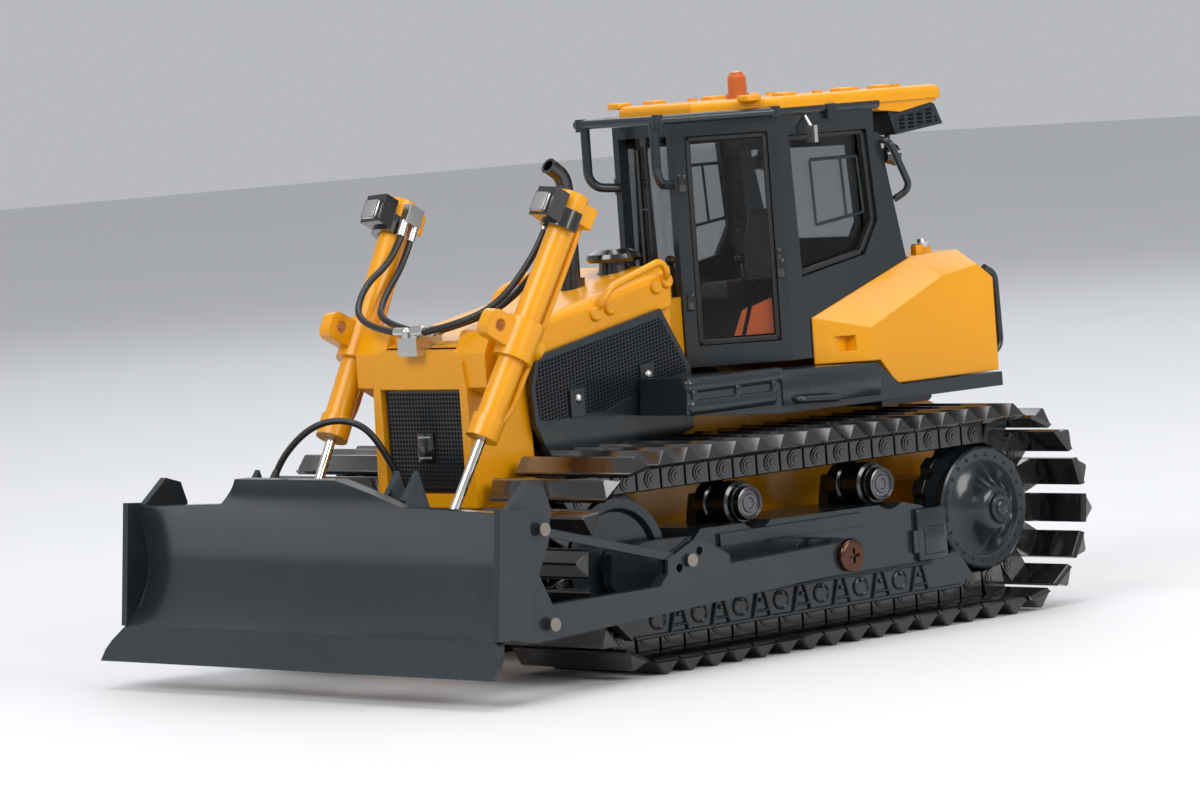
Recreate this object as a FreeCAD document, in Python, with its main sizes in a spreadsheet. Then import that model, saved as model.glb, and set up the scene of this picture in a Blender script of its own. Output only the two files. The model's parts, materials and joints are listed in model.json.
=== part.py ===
import FreeCAD, Part
import math
import os

doc = FreeCAD.newDocument("toy_bulldozer")
V = FreeCAD.Vector

# ---------------------------------------------------------------- driving sizes, millimetres
SIZES = [
    ("length", 115.0), ("edge_width", 80.2), ("blade_width", 77.0), ("total_height", 75.7),
    ("track_radius", 10.16), ("track_pitch", 4.256), ("shoe_count", 46), ("shoe_width", 22.7),
    ("track_outer", 33.9), ("shoe_rise", 4.04), ("plate_thickness", 0.85), ("link_half", 1.6),
    ("link_gap", 1.35), ("link_thickness", 1.6), ("pin_radius", 0.7), ("sprocket_teeth", 15),
    ("disc_radius", 8.0), ("carrier_radius", 2.95), ("carrier_height", 19.5), ("running_gap", 0.05),
    ("free_gap", 0.3), ("frame_inner", 16.5), ("frame_outer", 28.6), ("arm_inner", 34.4),
    ("arm_thickness", 1.8), ("trunnion_y", 8.0), ("trunnion_z", 11.8), ("trunnion_radius", 1.5),
    ("hull_half", 10.2), ("nose_half", 9.5), ("hood_half", 10.2), ("panel_thickness", 0.8),
    ("barrel_radius", 1.8), ("rod_radius", 0.65), ("swing_y", -28.7), ("swing_z", 43.2),
    ("swing_x", 16.1), ("lean", 29.4), ("splay", 3.6), ("barrel_above", 20.6), ("barrel_below", 13.7),
    ("pin_reach", 34.2), ("cab_half", 15.2), ("windshield_half", 5.9), ("cab_floor", 36.4),
    ("cab_top", 69.6), ("glass_thickness", 0.45), ("frame_bar", 1.5), ("roof_top", 71.9),
    ("tank_half", 20.0), ("platform_half", 21.0), ("moldboard_thickness", 1.3),
    ("end_plate_thickness", 1.1), ("hose_diameter", 0.9), ("bar_diameter", 1.0),
]
sheet = doc.addObject("Spreadsheet::Sheet", "sizes")
for row, (alias, value) in enumerate(SIZES, start=1):
    sheet.set("A%d" % row, alias)
    sheet.set("B%d" % row, str(value))
    sheet.setAlias("B%d" % row, alias)
doc.recompute()


def size(alias):
    """The value of one driving size."""
    return float(sheet.get(alias))


# positions along the machine follow its overall length
ALONG = size("length") / 115.0
# heights below the tracks' top follow the tracks, and those above it the overall height too
DESIGN_TRACK_TOP = 28.4
DESIGN_HEIGHT = 75.7
TRACK_TOP = 2 * (size("track_radius") + size("shoe_rise"))


def up(z):
    """A height of the nominal machine, moved with the tracks' top and the overall height."""
    if z <= DESIGN_TRACK_TOP:
        return z * TRACK_TOP / DESIGN_TRACK_TOP
    stretch = (size("total_height") - TRACK_TOP) / (DESIGN_HEIGHT - DESIGN_TRACK_TOP)
    return TRACK_TOP + (z - DESIGN_TRACK_TOP) * stretch


def at(points):
    """Side-view points (y, z), moved with the overall length and height."""
    return [(y * ALONG, up(z)) for y, z in points]


# ---------------------------------------------------------------- feature helpers
def origin_plane(body, role):
    for feature in body.Origin.OriginFeatures:
        if feature.Role == role:
            return feature
    raise ValueError(role)


def new_body(label):
    body = doc.addObject("PartDesign::Body", label)
    body.Label = label
    return body


def add_sketch(body, role, offset, outlines, circles=()):
    """A sketch on one of the body's own planes, moved along that plane's normal by an expression."""
    sketch = body.newObject("Sketcher::SketchObject", body.Label + "_sketch")
    sketch.AttachmentSupport = (origin_plane(body, role), [""])
    sketch.MapMode = "FlatFace"
    for outline in outlines:
        for start, end in zip(outline, outline[1:] + outline[:1]):
            sketch.addGeometry(Part.LineSegment(V(start[0], start[1], 0), V(end[0], end[1], 0)), False)
    for u, v, radius in circles:
        sketch.addGeometry(Part.Circle(V(u, v, 0), V(0, 0, 1), radius), False)
    if offset:
        sketch.setExpression("AttachmentOffset.Base.z", offset)
    return sketch


def pad(body, role, offset, length, outlines, circles=()):
    feature = body.newObject("PartDesign::Pad", body.Label + "_pad")
    feature.Profile = add_sketch(body, role, offset, outlines, circles)
    feature.setExpression("Length", length)
    doc.recompute()
    return feature


def pocket(body, role, offset, length, outlines, circles=()):
    """Cuts along the plane's normal, starting at the offset."""
    before = body.Shape.Volume
    feature = body.newObject("PartDesign::Pocket", body.Label + "_pocket")
    feature.Profile = add_sketch(body, role, offset, outlines, circles)
    feature.setExpression("Length", length)
    feature.Reversed = True
    doc.recompute()
    if not body.Shape.Volume < before:
        raise ValueError("a pocket of %s cut nothing" % body.Label)
    return feature


def revolve(body, role, axis, outline):
    feature = body.newObject("PartDesign::Revolution", body.Label + "_turned")
    sketch = add_sketch(body, role, None, [outline])
    feature.Profile = sketch
    feature.ReferenceAxis = (sketch, [axis])
    feature.Angle = 360
    doc.recompute()
    return feature


def place(body, x, y, z):
    """Binds a body's place to expressions, millimetres."""
    for letter, text in (("x", x), ("y", y), ("z", z)):
        if text:
            body.setExpression("Placement.Base." + letter, text)


def shape_node(label, shape):
    node = doc.addObject("Part::Feature", label)
    node.Label = label
    node.Shape = shape
    return node


def made(label):
    """Shape of a node built earlier, for a piece that is cut to sit against it."""
    return doc.getObject(label).Shape


def span(side, inner, thickness):
    """Offset expression for a slab that starts at inner on this side and is thickness thick."""
    return "%s" % inner if side > 0 else "-(%s) - (%s)" % (inner, thickness)


def side_slab(body, side, inner, thickness, outlines, circles=()):
    return pad(body, "YZ_Plane", span(side, inner, thickness), thickness, outlines, circles)


def side_cut(body, side, inner, thickness, outlines, circles=()):
    return pocket(body, "YZ_Plane", span(side, inner, thickness), thickness, outlines, circles)


def box(x1, x2, y1, y2, z1, z2):
    return Part.makeBox(x2 - x1, y2 - y1, z2 - z1, V(x1, y1, z1))


def slab(outline, x1, x2):
    """A side-view outline made into a solid from x1 to x2."""
    wire = Part.makePolygon([V(x1, y, z) for y, z in outline + outline[:1]])
    return Part.Face(wire).extrude(V(x2 - x1, 0, 0))


def plan_slab(outline, z1, z2):
    """A plan-view outline made into a solid from z1 to z2."""
    wire = Part.makePolygon([V(x, y, z1) for x, y in outline + outline[:1]])
    return Part.Face(wire).extrude(V(0, 0, z2 - z1))


def x_cylinder(radius, x1, x2, y, z):
    return Part.makeCylinder(radius, x2 - x1, V(x1, y, z), V(1, 0, 0))


def rod_between(start, end, radius):
    line = end - start
    return Part.makeCylinder(radius, line.Length, start, line)


def rounded_path(points, share=0.45):
    """Straight runs joined by tangent arcs. Each arc's radius follows the shorter run beside it."""
    edges = []
    last = points[0]
    smallest = 1e9
    for before, corner, after in zip(points, points[1:], points[2:]):
        back = (before - corner)
        ahead = (after - corner)
        turn = math.pi - back.getAngle(ahead)
        if turn < 1e-3:
            continue
        reach = share * min(back.Length, ahead.Length)
        smallest = min(smallest, reach / math.tan(turn / 2))
        start = corner + back.normalize() * reach
        end = corner + ahead.normalize() * reach
        middle_way = (back + ahead).normalize()
        radius = reach / math.tan(turn / 2)
        middle = corner + middle_way * (radius / math.cos(turn / 2) - radius)
        edges.append(Part.LineSegment(last, start).toShape())
        edges.append(Part.Arc(start, middle, end).toShape())
        last = end
    edges.append(Part.LineSegment(last, points[-1]).toShape())
    return Part.Wire(edges), smallest


def tube(points, diameter, label=None):
    wire, smallest = rounded_path(points)
    start = wire.Edges[0].Vertexes[0].Point
    way = wire.Edges[0].tangentAt(wire.Edges[0].FirstParameter)
    profile = Part.Wire([Part.makeCircle(diameter / 2, start, way)])
    solid = wire.makePipeShell([profile], True, False, 2)
    if label:
        share = solid.Volume / (math.pi * diameter ** 2 / 4 * wire.Length)
        print("%s: length %.1f, smallest bend radius %.2f, volume share %.3f"
              % (label, wire.Length, smallest, share))
    return solid


SIDES = (("left", 1), ("right", -1))
REAR_Y = size("length") / 2 - size("track_radius") - size("shoe_rise")
AXLE_Z = size("track_radius") + size("shoe_rise")
PITCH = size("track_pitch")
LOOP = PITCH * round(size("shoe_count") * ALONG)
FRONT_Y = REAR_Y - (LOOP - 2 * math.pi * size("track_radius")) / 2
CHAIN_X = size("track_outer") - size("shoe_width") / 2


# ---------------------------------------------------------------- undercarriage
def loop_point(distance):
    """Place and direction on the track's pin line, measured from the rear end of the ground run."""
    radius = size("track_radius")
    straight = REAR_Y - FRONT_Y
    arc = math.pi * radius
    distance %= 2 * straight + 2 * arc
    if distance < straight:
        return REAR_Y - distance, AXLE_Z - radius, 180.0
    distance -= straight
    if distance < arc:
        angle = distance / radius
        return FRONT_Y - radius * math.sin(angle), AXLE_Z - radius * math.cos(angle), 180 - math.degrees(angle)
    distance -= arc
    if distance < straight:
        return FRONT_Y + distance, AXLE_Z + radius, 0.0
    distance -= straight
    angle = distance / radius
    return REAR_Y + radius * math.sin(angle), AXLE_Z + radius * math.cos(angle), -math.degrees(angle)


def stadium(radius, x1, x2):
    length = REAR_Y - FRONT_Y
    middle = box(x1, x2, FRONT_Y, FRONT_Y + length, AXLE_Z - radius, AXLE_Z + radius)
    ends = [Part.makeCylinder(radius, x2 - x1, V(x1, y, AXLE_Z), V(1, 0, 0)) for y in (FRONT_Y, REAR_Y)]
    return middle.fuse(ends).removeSplitter()


def make_track(label, side):
    """One track: two rails of links, their pins, and wide shoes with triangular grousers."""
    half = size("link_half")
    rails = []
    for sign in (-1, 1):
        near = CHAIN_X + sign * size("link_gap")
        far = near + sign * size("link_thickness")
        x1, x2 = min(near, far), max(near, far)
        ring = stadium(size("track_radius") + half, x1, x2)
        rails.append(ring.cut(stadium(size("track_radius") - half, x1, x2)))
    rise = size("shoe_rise")
    foot = half - 0.1
    plate = foot + size("plate_thickness")
    wide = PITCH * 0.46
    outline = [(-wide, foot), (wide, foot), (wide, plate), (wide * 0.75, plate), (0.2, rise), (-0.2, rise),
               (-wide * 0.75, plate), (-wide, plate)]
    x1 = size("track_outer") - size("shoe_width")
    shoe = slab(outline, x1, size("track_outer"))
    for x, sign in ((x1, 1), (size("track_outer"), -1)):
        wedge = Part.makePolygon([V(x - sign, 0, rise + 1), V(x + sign * 0.9, 0, rise + 1),
                                  V(x - sign * 0.25, 0, foot - 0.1), V(x - sign, 0, foot - 0.1),
                                  V(x - sign, 0, rise + 1)])
        cutter = Part.Face(wedge).extrude(V(0, 2 * PITCH, 0))
        cutter.translate(V(0, -PITCH, 0))
        shoe = shoe.cut(cutter)
    count = round(LOOP / PITCH)
    pieces = []
    for index in range(count):
        y, z, angle = loop_point((index + 0.5) * PITCH)
        copy = shoe.copy()
        copy.rotate(V(0, 0, 0), V(1, 0, 0), angle)
        copy.translate(V(0, y, z))
        pieces.append(copy)
        y, z, angle = loop_point(index * PITCH)
        reach = size("link_gap") + size("link_thickness") + 0.25
        pieces.append(x_cylinder(size("pin_radius"), CHAIN_X - reach, CHAIN_X + reach, y, z))
    track = rails[0].multiFuse([rails[1]] + pieces)
    if side < 0:
        track = track.mirror(V(0, 0, 0), V(1, 0, 0))
    return shape_node(label, track)


def wheel(label, side, y_expression, z_expression, outline):
    """A turned piece on a sideways axle. The outline is (distance out from the centre plane, radius)."""
    body = new_body(label)
    if side > 0:
        points = outline
    else:
        points = [(-x, r) for x, r in outline]
    revolve(body, "XY_Plane", "H_Axis", points)
    place(body, None, y_expression, z_expression)
    return body


def make_sprocket(label, side):
    """Toothed wheel, final-drive disc and domed hub, turning on the hull's axle."""
    hub = CHAIN_X + size("link_gap") + size("link_thickness")
    disc = size("disc_radius")
    bore = 2.0 + size("running_gap")
    tip = size("track_radius") - size("pin_radius") - size("free_gap")
    body = wheel(label, side, str(REAR_Y), str(AXLE_Z), [
        (CHAIN_X - 2.6, bore), (CHAIN_X - 2.6, 4.5), (CHAIN_X - 1.0, 5.5), (CHAIN_X - 1.0, tip - 2.2),
        (CHAIN_X + 1.0, tip - 2.2), (hub, disc - 0.6), (hub + 0.3, disc), (hub + 1.2, disc),
        (hub + 1.5, disc - 0.9), (hub + 1.3, disc - 1.8), (hub + 1.9, 4.9), (hub + 4.2, 3.1),
        (hub + 4.2, 2.2), (hub + 5.0, 2.0), (hub + 5.0, 0.0), (hub + 2.0, 0.0), (hub + 2.0, bore)])
    teeth = round(size("sprocket_teeth"))
    outline = []
    for index in range(teeth):
        centre = (index + 0.5) * 2 * math.pi / teeth
        for shift, radius in ((-0.16, tip - 1.9), (-0.085, tip), (0.085, tip), (0.16, tip - 1.9)):
            angle = centre + shift
            outline.append((radius * math.cos(angle), radius * math.sin(angle)))
    x1 = CHAIN_X - 1.0 if side > 0 else -CHAIN_X - 1.0
    pad(body, "YZ_Plane", "%f" % x1, "2", [outline], [(0, 0, 4.0)])
    return body


def make_idler(label, side):
    """Front idler: a flange between the links, treads under them, and its axle stubs."""
    out = CHAIN_X + size("link_gap") + size("link_thickness")
    inn = CHAIN_X - size("link_gap") - size("link_thickness")
    tread = size("track_radius") - size("link_half") - size("free_gap")
    flange = size("track_radius") - size("pin_radius") - size("free_gap")
    return wheel(label, side, str(FRONT_Y), str(AXLE_Z), [
        (inn - 2.2, 0), (inn - 2.2, 1.2), (inn - 0.3, 1.2), (inn - 0.3, 2.6), (inn + 0.8, 2.6),
        (inn + 0.8, tread - 1.8), (inn, tread - 1.3), (inn, tread), (CHAIN_X - 0.9, tread),
        (CHAIN_X - 0.7, flange), (CHAIN_X + 0.7, flange), (CHAIN_X + 0.9, tread), (out, tread),
        (out, tread - 1.3), (out - 0.8, tread - 1.8), (out - 0.8, 2.6), (out + 0.3, 2.6),
        (out + 0.3, 1.2), (out + 2.2, 1.2), (out + 2.2, 0)])


CARRIER_YS = (-0.7 * ALONG, 23.6 * ALONG)


def make_carrier(label, side, y):
    """One return roller with its silver end cap, turning on the frame's axle."""
    out = CHAIN_X + size("link_gap") + size("link_thickness")
    inn = CHAIN_X - size("link_gap") - size("link_thickness")
    radius = size("carrier_radius")
    bore = 0.9 + size("running_gap")
    return wheel(label, side, str(y), str(size("carrier_height")), [
        (inn - 0.3, bore), (inn - 0.3, 2.2), (inn, radius), (CHAIN_X - 1.0, radius),
        (CHAIN_X - 0.8, 2.5), (CHAIN_X + 0.8, 2.5), (CHAIN_X + 1.0, radius), (out, radius),
        (out + 0.2, 2.5), (out + 0.9, 2.5), (out + 0.9, 2.27), (out + 1.9, 2.2), (out + 2.0, 1.9),
        (out + 1.6, 1.7), (out + 1.6, 0.0), (out + 0.4, 0.0), (out + 0.4, bore)])


def make_track_frame(label, side):
    """Frame beam, idler yoke, roller guard, return-roller brackets and the arm's pivot boss."""
    inner = size("frame_inner")
    outer = size("frame_outer")
    floor = AXLE_Z - size("track_radius") + size("link_half") + 0.6
    front = FRONT_Y + size("track_radius") - 0.291
    rear = REAR_Y - size("track_radius") + 0.16
    beam = slab([(front, floor), (rear - 2.8, floor), (rear, AXLE_Z - 5.7), (rear, AXLE_Z - 1.6),
                 (rear - 3.8, AXLE_Z + 1.8), (rear - 7.2, AXLE_Z + 2.6), (front + 2.0, AXLE_Z + 3.1),
                 (front, AXLE_Z + 1.3)], inner, outer)
    guard = slab([(FRONT_Y - 4.73, 7.2), (FRONT_Y - 1.63, 4.3), (REAR_Y - 7.7, 4.3), (REAR_Y - 5.6, 6.0),
                  (REAR_Y - 8.1, 9.3), (REAR_Y - 13.3, 8.5), (FRONT_Y - 1.33, 8.2)], outer - 1.3, outer + 0.4)
    shape = beam.fuse(guard)
    out = CHAIN_X + size("link_gap") + size("link_thickness")
    inn = CHAIN_X - size("link_gap") - size("link_thickness")
    for x1, x2 in ((inn - 2.2, inn - 0.6), (out + 0.6, out + 2.2)):
        yoke = slab([(FRONT_Y - 3.4, AXLE_Z - 2.5), (FRONT_Y - 3.0, AXLE_Z + 1.4),
                     (FRONT_Y + 3.5, AXLE_Z + 2.4), (front + 2.8, AXLE_Z + 2.2), (front + 2.8, AXLE_Z - 5.7),
                     (FRONT_Y - 1.0, AXLE_Z - 5.9)], x1, x2)
        shape = shape.fuse(yoke)
        hole = x_cylinder(1.2 + size("running_gap"), x1 - 2, x1 + 4, FRONT_Y, AXLE_Z)
        shape = shape.cut(hole)
    height = size("carrier_height")
    for y in CARRIER_YS:
        post = slab([(y - 2.6, 16.0), (y + 2.6, 16.0), (y + 1.6, height + 1.3), (y - 1.6, height + 1.3)],
                    inn - 2.3, inn - 0.6)
        axle = x_cylinder(0.9, inn - 1.0, out + 0.2, y, height)
        well = x_cylinder(size("carrier_radius") + 0.4, inn - 0.5, out + 5, y, height)
        shape = shape.fuse(post).cut(well).fuse(axle)
    arm = size("arm_inner")
    pivot_y, pivot_z = size("trunnion_y") * ALONG, size("trunnion_z")
    boss = x_cylinder(2.3, outer - 1, arm - 0.1, pivot_y, pivot_z)
    shape = shape.fuse(boss)
    step = box(outer - 0.1, outer + 0.6, 27.0 * ALONG, 32.6 * ALONG, 9.8, 12.8)
    rib = box(outer - 0.1, outer + 0.5, -8.0 * ALONG, 18.0 * ALONG, 14.6, 16.3)
    shape = shape.fuse([step, rib])
    screw_hole = x_cylinder(0.9, arm - 4.1, arm + 1.9, pivot_y, pivot_z)
    shape = shape.cut(screw_hole).removeSplitter()
    if side < 0:
        shape = shape.mirror(V(0, 0, 0), V(1, 0, 0))
    return shape_node(label, shape)


def make_trunnion_screws():
    """Two shouldered cross-head screws that the push arms turn on."""
    screws = []
    top = size("arm_inner") + size("arm_thickness")
    for side in (1, -1):
        y, z = size("trunnion_y") * ALONG, size("trunnion_z")
        thread = x_cylinder(0.9, size("arm_inner") - 4.1, size("arm_inner") - 0.1, y, z)
        shoulder = x_cylinder(size("trunnion_radius"), size("arm_inner") - 0.1, top + 0.2, y, z)
        head = x_cylinder(2.15, top + 0.1, top + 1.0, y, z)
        rim = [edge for edge in head.Edges if abs(edge.CenterOfMass.x - top - 1.0) < 1e-4 and edge.Length > 5]
        head = head.makeFillet(0.5, rim)
        cross = box(top + 0.55, top + 1.2, y - 1.0, y + 1.0, z - 0.2, z + 0.2)
        cross = cross.fuse(box(top + 0.55, top + 1.2, y - 0.2, y + 0.2, z - 1.0, z + 1.0))
        screw = thread.fuse([shoulder, head]).cut(cross)
        if side < 0:
            screw = screw.mirror(V(0, 0, 0), V(1, 0, 0))
        screws.append(screw)
    return shape_node("trunnion_screws", Part.makeCompound(screws))


# ---------------------------------------------------------------- hull, nose and hood
def make_hull():
    """The belly between the tracks, with the beams that carry both track frames and the drive axles."""
    body = new_body("hull")
    outline = at([(-30.5, 13.0), (-24.0, 9.5), (46.0, 9.5), (52.0, 14.0), (52.0, 27.5), (44.0, 31.0),
                  (2.0, 31.0), (-9.0, 23.0), (-22.0, 22.0), (-31.3, 22.0)])
    pad(body, "YZ_Plane", "-sizes.hull_half", "2 * sizes.hull_half", [outline])
    beams = [[(y * ALONG, 8.2), ((y + 6) * ALONG, 8.2), ((y + 6) * ALONG, 15.0), (y * ALONG, 15.0)]
             for y in (-6.0, 16.0)]
    for side in (1, -1):
        for beam in beams:
            side_slab(body, side, "sizes.hull_half - 0.2", "sizes.frame_inner - sizes.hull_half + 0.2", [beam])
        side_slab(body, side, "sizes.hull_half - 0.2", "%f - sizes.hull_half" % (CHAIN_X - 2.8), [],
                  [(REAR_Y, AXLE_Z, 4.4)])
        side_slab(body, side, "sizes.hull_half - 0.2", "%f - sizes.hull_half" % (CHAIN_X + 4.4), [],
                  [(REAR_Y, AXLE_Z, 2.0)])
    return body


def make_nose():
    """Radiator housing with the grille recess, and the brackets that carry both lift cylinders."""
    body = new_body("nose")
    half = size("nose_half")
    lower, upper = up(22.0), up(42.6)
    front = [(-half - 0.5, lower), (half + 0.5, lower), (half, up(37.0)), (half - 0.6, up(41.0)),
             (half - 2.2, upper), (-half + 2.2, upper), (-half + 0.6, up(41.0)), (-half, up(37.0))]
    pad(body, "XZ_Plane", "%f" % (22.0 * ALONG), "%f" % (10.4 * ALONG), [front])
    pocket(body, "XZ_Plane", "%f" % (31.2 * ALONG), "2",
           [[(-7.9, up(23.8)), (7.9, up(23.8)), (8.0, up(37.4)), (-8.0, up(37.4))]])
    bracket = at([(-32.0, 37.6), (-29.6, 36.2), (-26.6, 38.6), (-26.0, 43.6), (-28.0, 45.6), (-30.6, 44.8),
                  (-32.0, 42.0)])
    reach = size("swing_x") - size("barrel_radius") - 0.8 - 0.4
    for side in (1, -1):
        side_slab(body, side, "sizes.nose_half - 2.4", "%f" % (reach - half + 2.4), [bracket])
        side_slab(body, side, "sizes.nose_half", "%f" % (size("swing_x") - 2.0 - half), [],
                  [(size("swing_y"), size("swing_z"), 1.1)])
    return body


def make_hood():
    """Sloping engine cover with rounded edges, and the cowl that reaches back to the cab."""
    half = size("hood_half")
    outline = at([(-31.6, 42.8), (-30.0, 43.6), (-6.2, 48.2), (4.6, 50.6), (4.6, 45.4), (-21.6, 40.6),
                  (-21.9, 42.8)])
    shape = slab(outline, -half, half)
    edges = [edge for edge in shape.Edges
             if abs(abs(edge.CenterOfMass.x) - half) < 1e-4 and edge.CenterOfMass.z > up(44.0)]
    shape = shape.makeFillet(1.5, edges)
    core = slab(at([(-21.4, 31.2), (4.4, 31.2), (4.4, 46.0), (-21.4, 41.4)]), -half + 1.2, half - 1.2)
    cowl = plan_slab([(-9.0, 4.2 * ALONG), (-5.6, 9.6 * ALONG), (5.6, 9.6 * ALONG), (9.0, 4.2 * ALONG)],
                     up(31.2), up(46.0))
    seat = Part.makeCylinder(2.3, 4, V(0, 3.0 * ALONG, up(48.9)), V(0, 0, 1))
    shape = shape.multiFuse([core, cowl]).cut([seat, made("nose")])
    return shape_node("hood", shape.removeSplitter())


def make_side_panel(label, side):
    """Side door of the engine bay: a mesh screen above a smooth lower cover."""
    body = new_body(label)
    lower = at([(-22.3, 31.6), (-20.3, 27.0), (-17.6, 24.9), (-13.6, 24.4), (-6.0, 25.6), (5.4, 28.8),
                (5.6, 36.9), (0.9, 45.1), (-21.5, 40.7), (-22.7, 36.6)])
    side_slab(body, side, "sizes.hood_half", "sizes.panel_thickness", [lower])
    band = at([(-22.2, 31.4), (-20.2, 27.1), (-17.6, 25.1), (-13.6, 24.7), (-6.0, 25.9), (5.3, 29.0),
               (5.3, 36.4), (-1.0, 35.4), (-10.0, 32.6), (-18.0, 32.2)])
    side_slab(body, side, "sizes.hood_half + 0.4", "0.5", [band])
    for y, z in ((-15.2, 34.2), (-2.6, 36.4)):
        y, z = y * ALONG, up(z)
        tab = [(y - 1.2, z - 2.0), (y + 1.3, z - 2.0), (y + 1.3, z + 1.8), (y - 1.2, z + 1.6)]
        side_slab(body, side, "sizes.hood_half + 0.5", "0.7", [tab])
    return body


def make_front_grille():
    body = new_body("front_grille")
    pad(body, "XZ_Plane", "%f" % (31.25 * ALONG), "0.5",
        [[(-7.7, up(24.0)), (7.7, up(24.0)), (7.8, up(37.2)), (-7.8, up(37.2))]])
    pad(body, "XZ_Plane", "%f" % (31.5 * ALONG), "0.6",
        [[(-1.6, up(28.0)), (1.6, up(28.0)), (1.6, up(31.6)), (-1.6, up(31.6))]])
    return body


def make_handrails():
    """Two bent bars, one on each upper edge of the hood beside the cab."""
    bars = []
    half = size("hood_half")
    for side in (1, -1):
        points = [(half - 0.5, -9.6, 45.4), (half + 0.9, -9.3, 46.9), (half + 0.9, -7.8, 48.6),
                  (half + 0.9, 1.4, 51.4), (half + 0.9, 2.6, 49.6), (half - 0.5, 2.6, 48.6)]
        path = [V(side * x, y * ALONG, up(z)) for x, y, z in points]
        bars.append(tube(path, size("bar_diameter")).cut(made("hood")))
    return shape_node("hood_handrails", Part.makeCompound(bars))


def make_exhaust():
    """Upright pipe on the hood, bent forwards at the top."""
    line = at([(-4.6, 48.2), (-4.6, 60.2), (-5.0, 63.4), (-7.4, 65.0)])
    pipe = tube([V(0, y, z) for y, z in line], 2.3)
    bore = rod_between(V(0, -5.8 * ALONG, up(63.95)), V(0, -7.8 * ALONG, up(65.3)), 0.8)
    collar = Part.makeCylinder(1.7, 1.6, V(0, -4.6 * ALONG, up(48.2)), V(0, 0, 1))
    return shape_node("exhaust_stack", pipe.fuse(collar).cut([bore, made("hood")]))


def make_precleaner():
    body = new_body("precleaner")
    revolve(body, "XZ_Plane", "V_Axis", [(0, up(48.9)), (2.3, up(48.9)), (2.0, up(51.2)), (3.4, up(51.4)),
                                         (3.75, up(51.9)), (3.5, up(52.5)), (2.4, up(53.1)), (0, up(53.3))])
    place(body, None, "%f" % (3.0 * ALONG), None)
    return body


def make_hose_block():
    """Small block on the nose with four elbow fittings for the lift hoses."""
    block = box(-1.9, 1.9, -34.0 * ALONG, -29.5 * ALONG, up(41.9), up(44.3))
    elbows = []
    for side in (1, -1):
        for y in (-33.2, -30.4):
            corner = V(side * 0.9, y * ALONG, up(45.0))
            elbows.append(rod_between(V(side * 0.9, y * ALONG, up(44.0)), corner, 0.65))
            elbows.append(Part.makeSphere(0.65, corner))
            elbows.append(rod_between(corner, corner + V(side * 2.0, 0, 0), 0.65))
    return shape_node("hose_block", block.multiFuse(elbows).cut([made("nose"), made("hood")]))


# ---------------------------------------------------------------- cab
def cab_plan(inset, rear_add=0.0):
    """Six-sided plan of the cab: a narrow windshield, angled doors, straight rear sides."""
    wide = size("cab_half") - inset
    narrow = size("windshield_half") - inset * 0.45
    front, pillar, rear = 9.7 * ALONG + inset, 20.6 * ALONG + inset * 0.3, 38.6 * ALONG - inset + rear_add
    return [(-narrow, front), (narrow, front), (wide, pillar), (wide, rear), (-wide, rear), (-wide, pillar)]


def side_window(points, x1, x2):
    return slab(at(points), x1, x2)


def door_cut(z1, z2, start, end):
    """A block that passes square through one angled door, from start to end of its width."""
    (x1, y1), (x2, y2) = cab_plan(0)[1], cab_plan(0)[2]
    way = V(x2 - x1, y2 - y1, 0)
    out = V(way.y, -way.x, 0).normalize() * 4
    a = V(x1, y1, 0) + way * start
    b = V(x1, y1, 0) + way * end
    corners = [a - out, b - out, b + out, a + out]
    return plan_slab([(p.x, p.y) for p in corners], up(z1), up(z2))


def make_cab_shell():
    """Cab frame: one hollow six-sided moulding with window openings on every side."""
    floor, top = up(size("cab_floor")), up(size("cab_top"))
    plan = cab_plan(0)
    outer = plan_slab(plan, floor, top)
    inner = plan_slab(cab_plan(size("frame_bar")), floor + 1.4, top - 1.4)
    rear_foot = slab(at([(38.0, 36.4), (43.2, 36.4), (43.2, 48.2), (39.4, 66.0), (38.0, 66.0)]),
                     -size("cab_half"), size("cab_half"))
    shape = outer.fuse(rear_foot).cut(inner)
    windshield = box(-size("windshield_half") + 1.1, size("windshield_half") - 1.1, 5 * ALONG, 13 * ALONG,
                     up(43.0), up(67.6))
    shape = shape.cut(windshield)
    door = door_cut(39.2, 67.4, 0.12, 0.90)
    mirrored_door = door.mirror(V(0, 0, 0), V(1, 0, 0))
    rear_side = [(22.4, 66.6), (37.2, 66.6), (38.2, 54.0), (35.4, 49.6), (23.2, 47.4)]
    sides = side_window(rear_side, -20, 20)
    rear = box(-10.5, 10.5, 33 * ALONG, 50 * ALONG, up(52.0), up(64.5))
    shape = shape.cut([door, mirrored_door, sides, rear])
    return shape_node("cab_shell", shape.removeSplitter())


def make_cab_glazing():
    """One clear moulding inside the cab frame, the way such models are glazed."""
    floor, top = up(size("cab_floor")) + 2.4, up(size("cab_top")) - 1.5
    gap = size("frame_bar") + 0.05
    thick = size("glass_thickness")
    outer = plan_slab(cab_plan(gap), floor, top)
    inner = plan_slab(cab_plan(gap + thick), floor - 1, top - thick)
    return shape_node("cab_glazing", outer.cut(inner))


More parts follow.
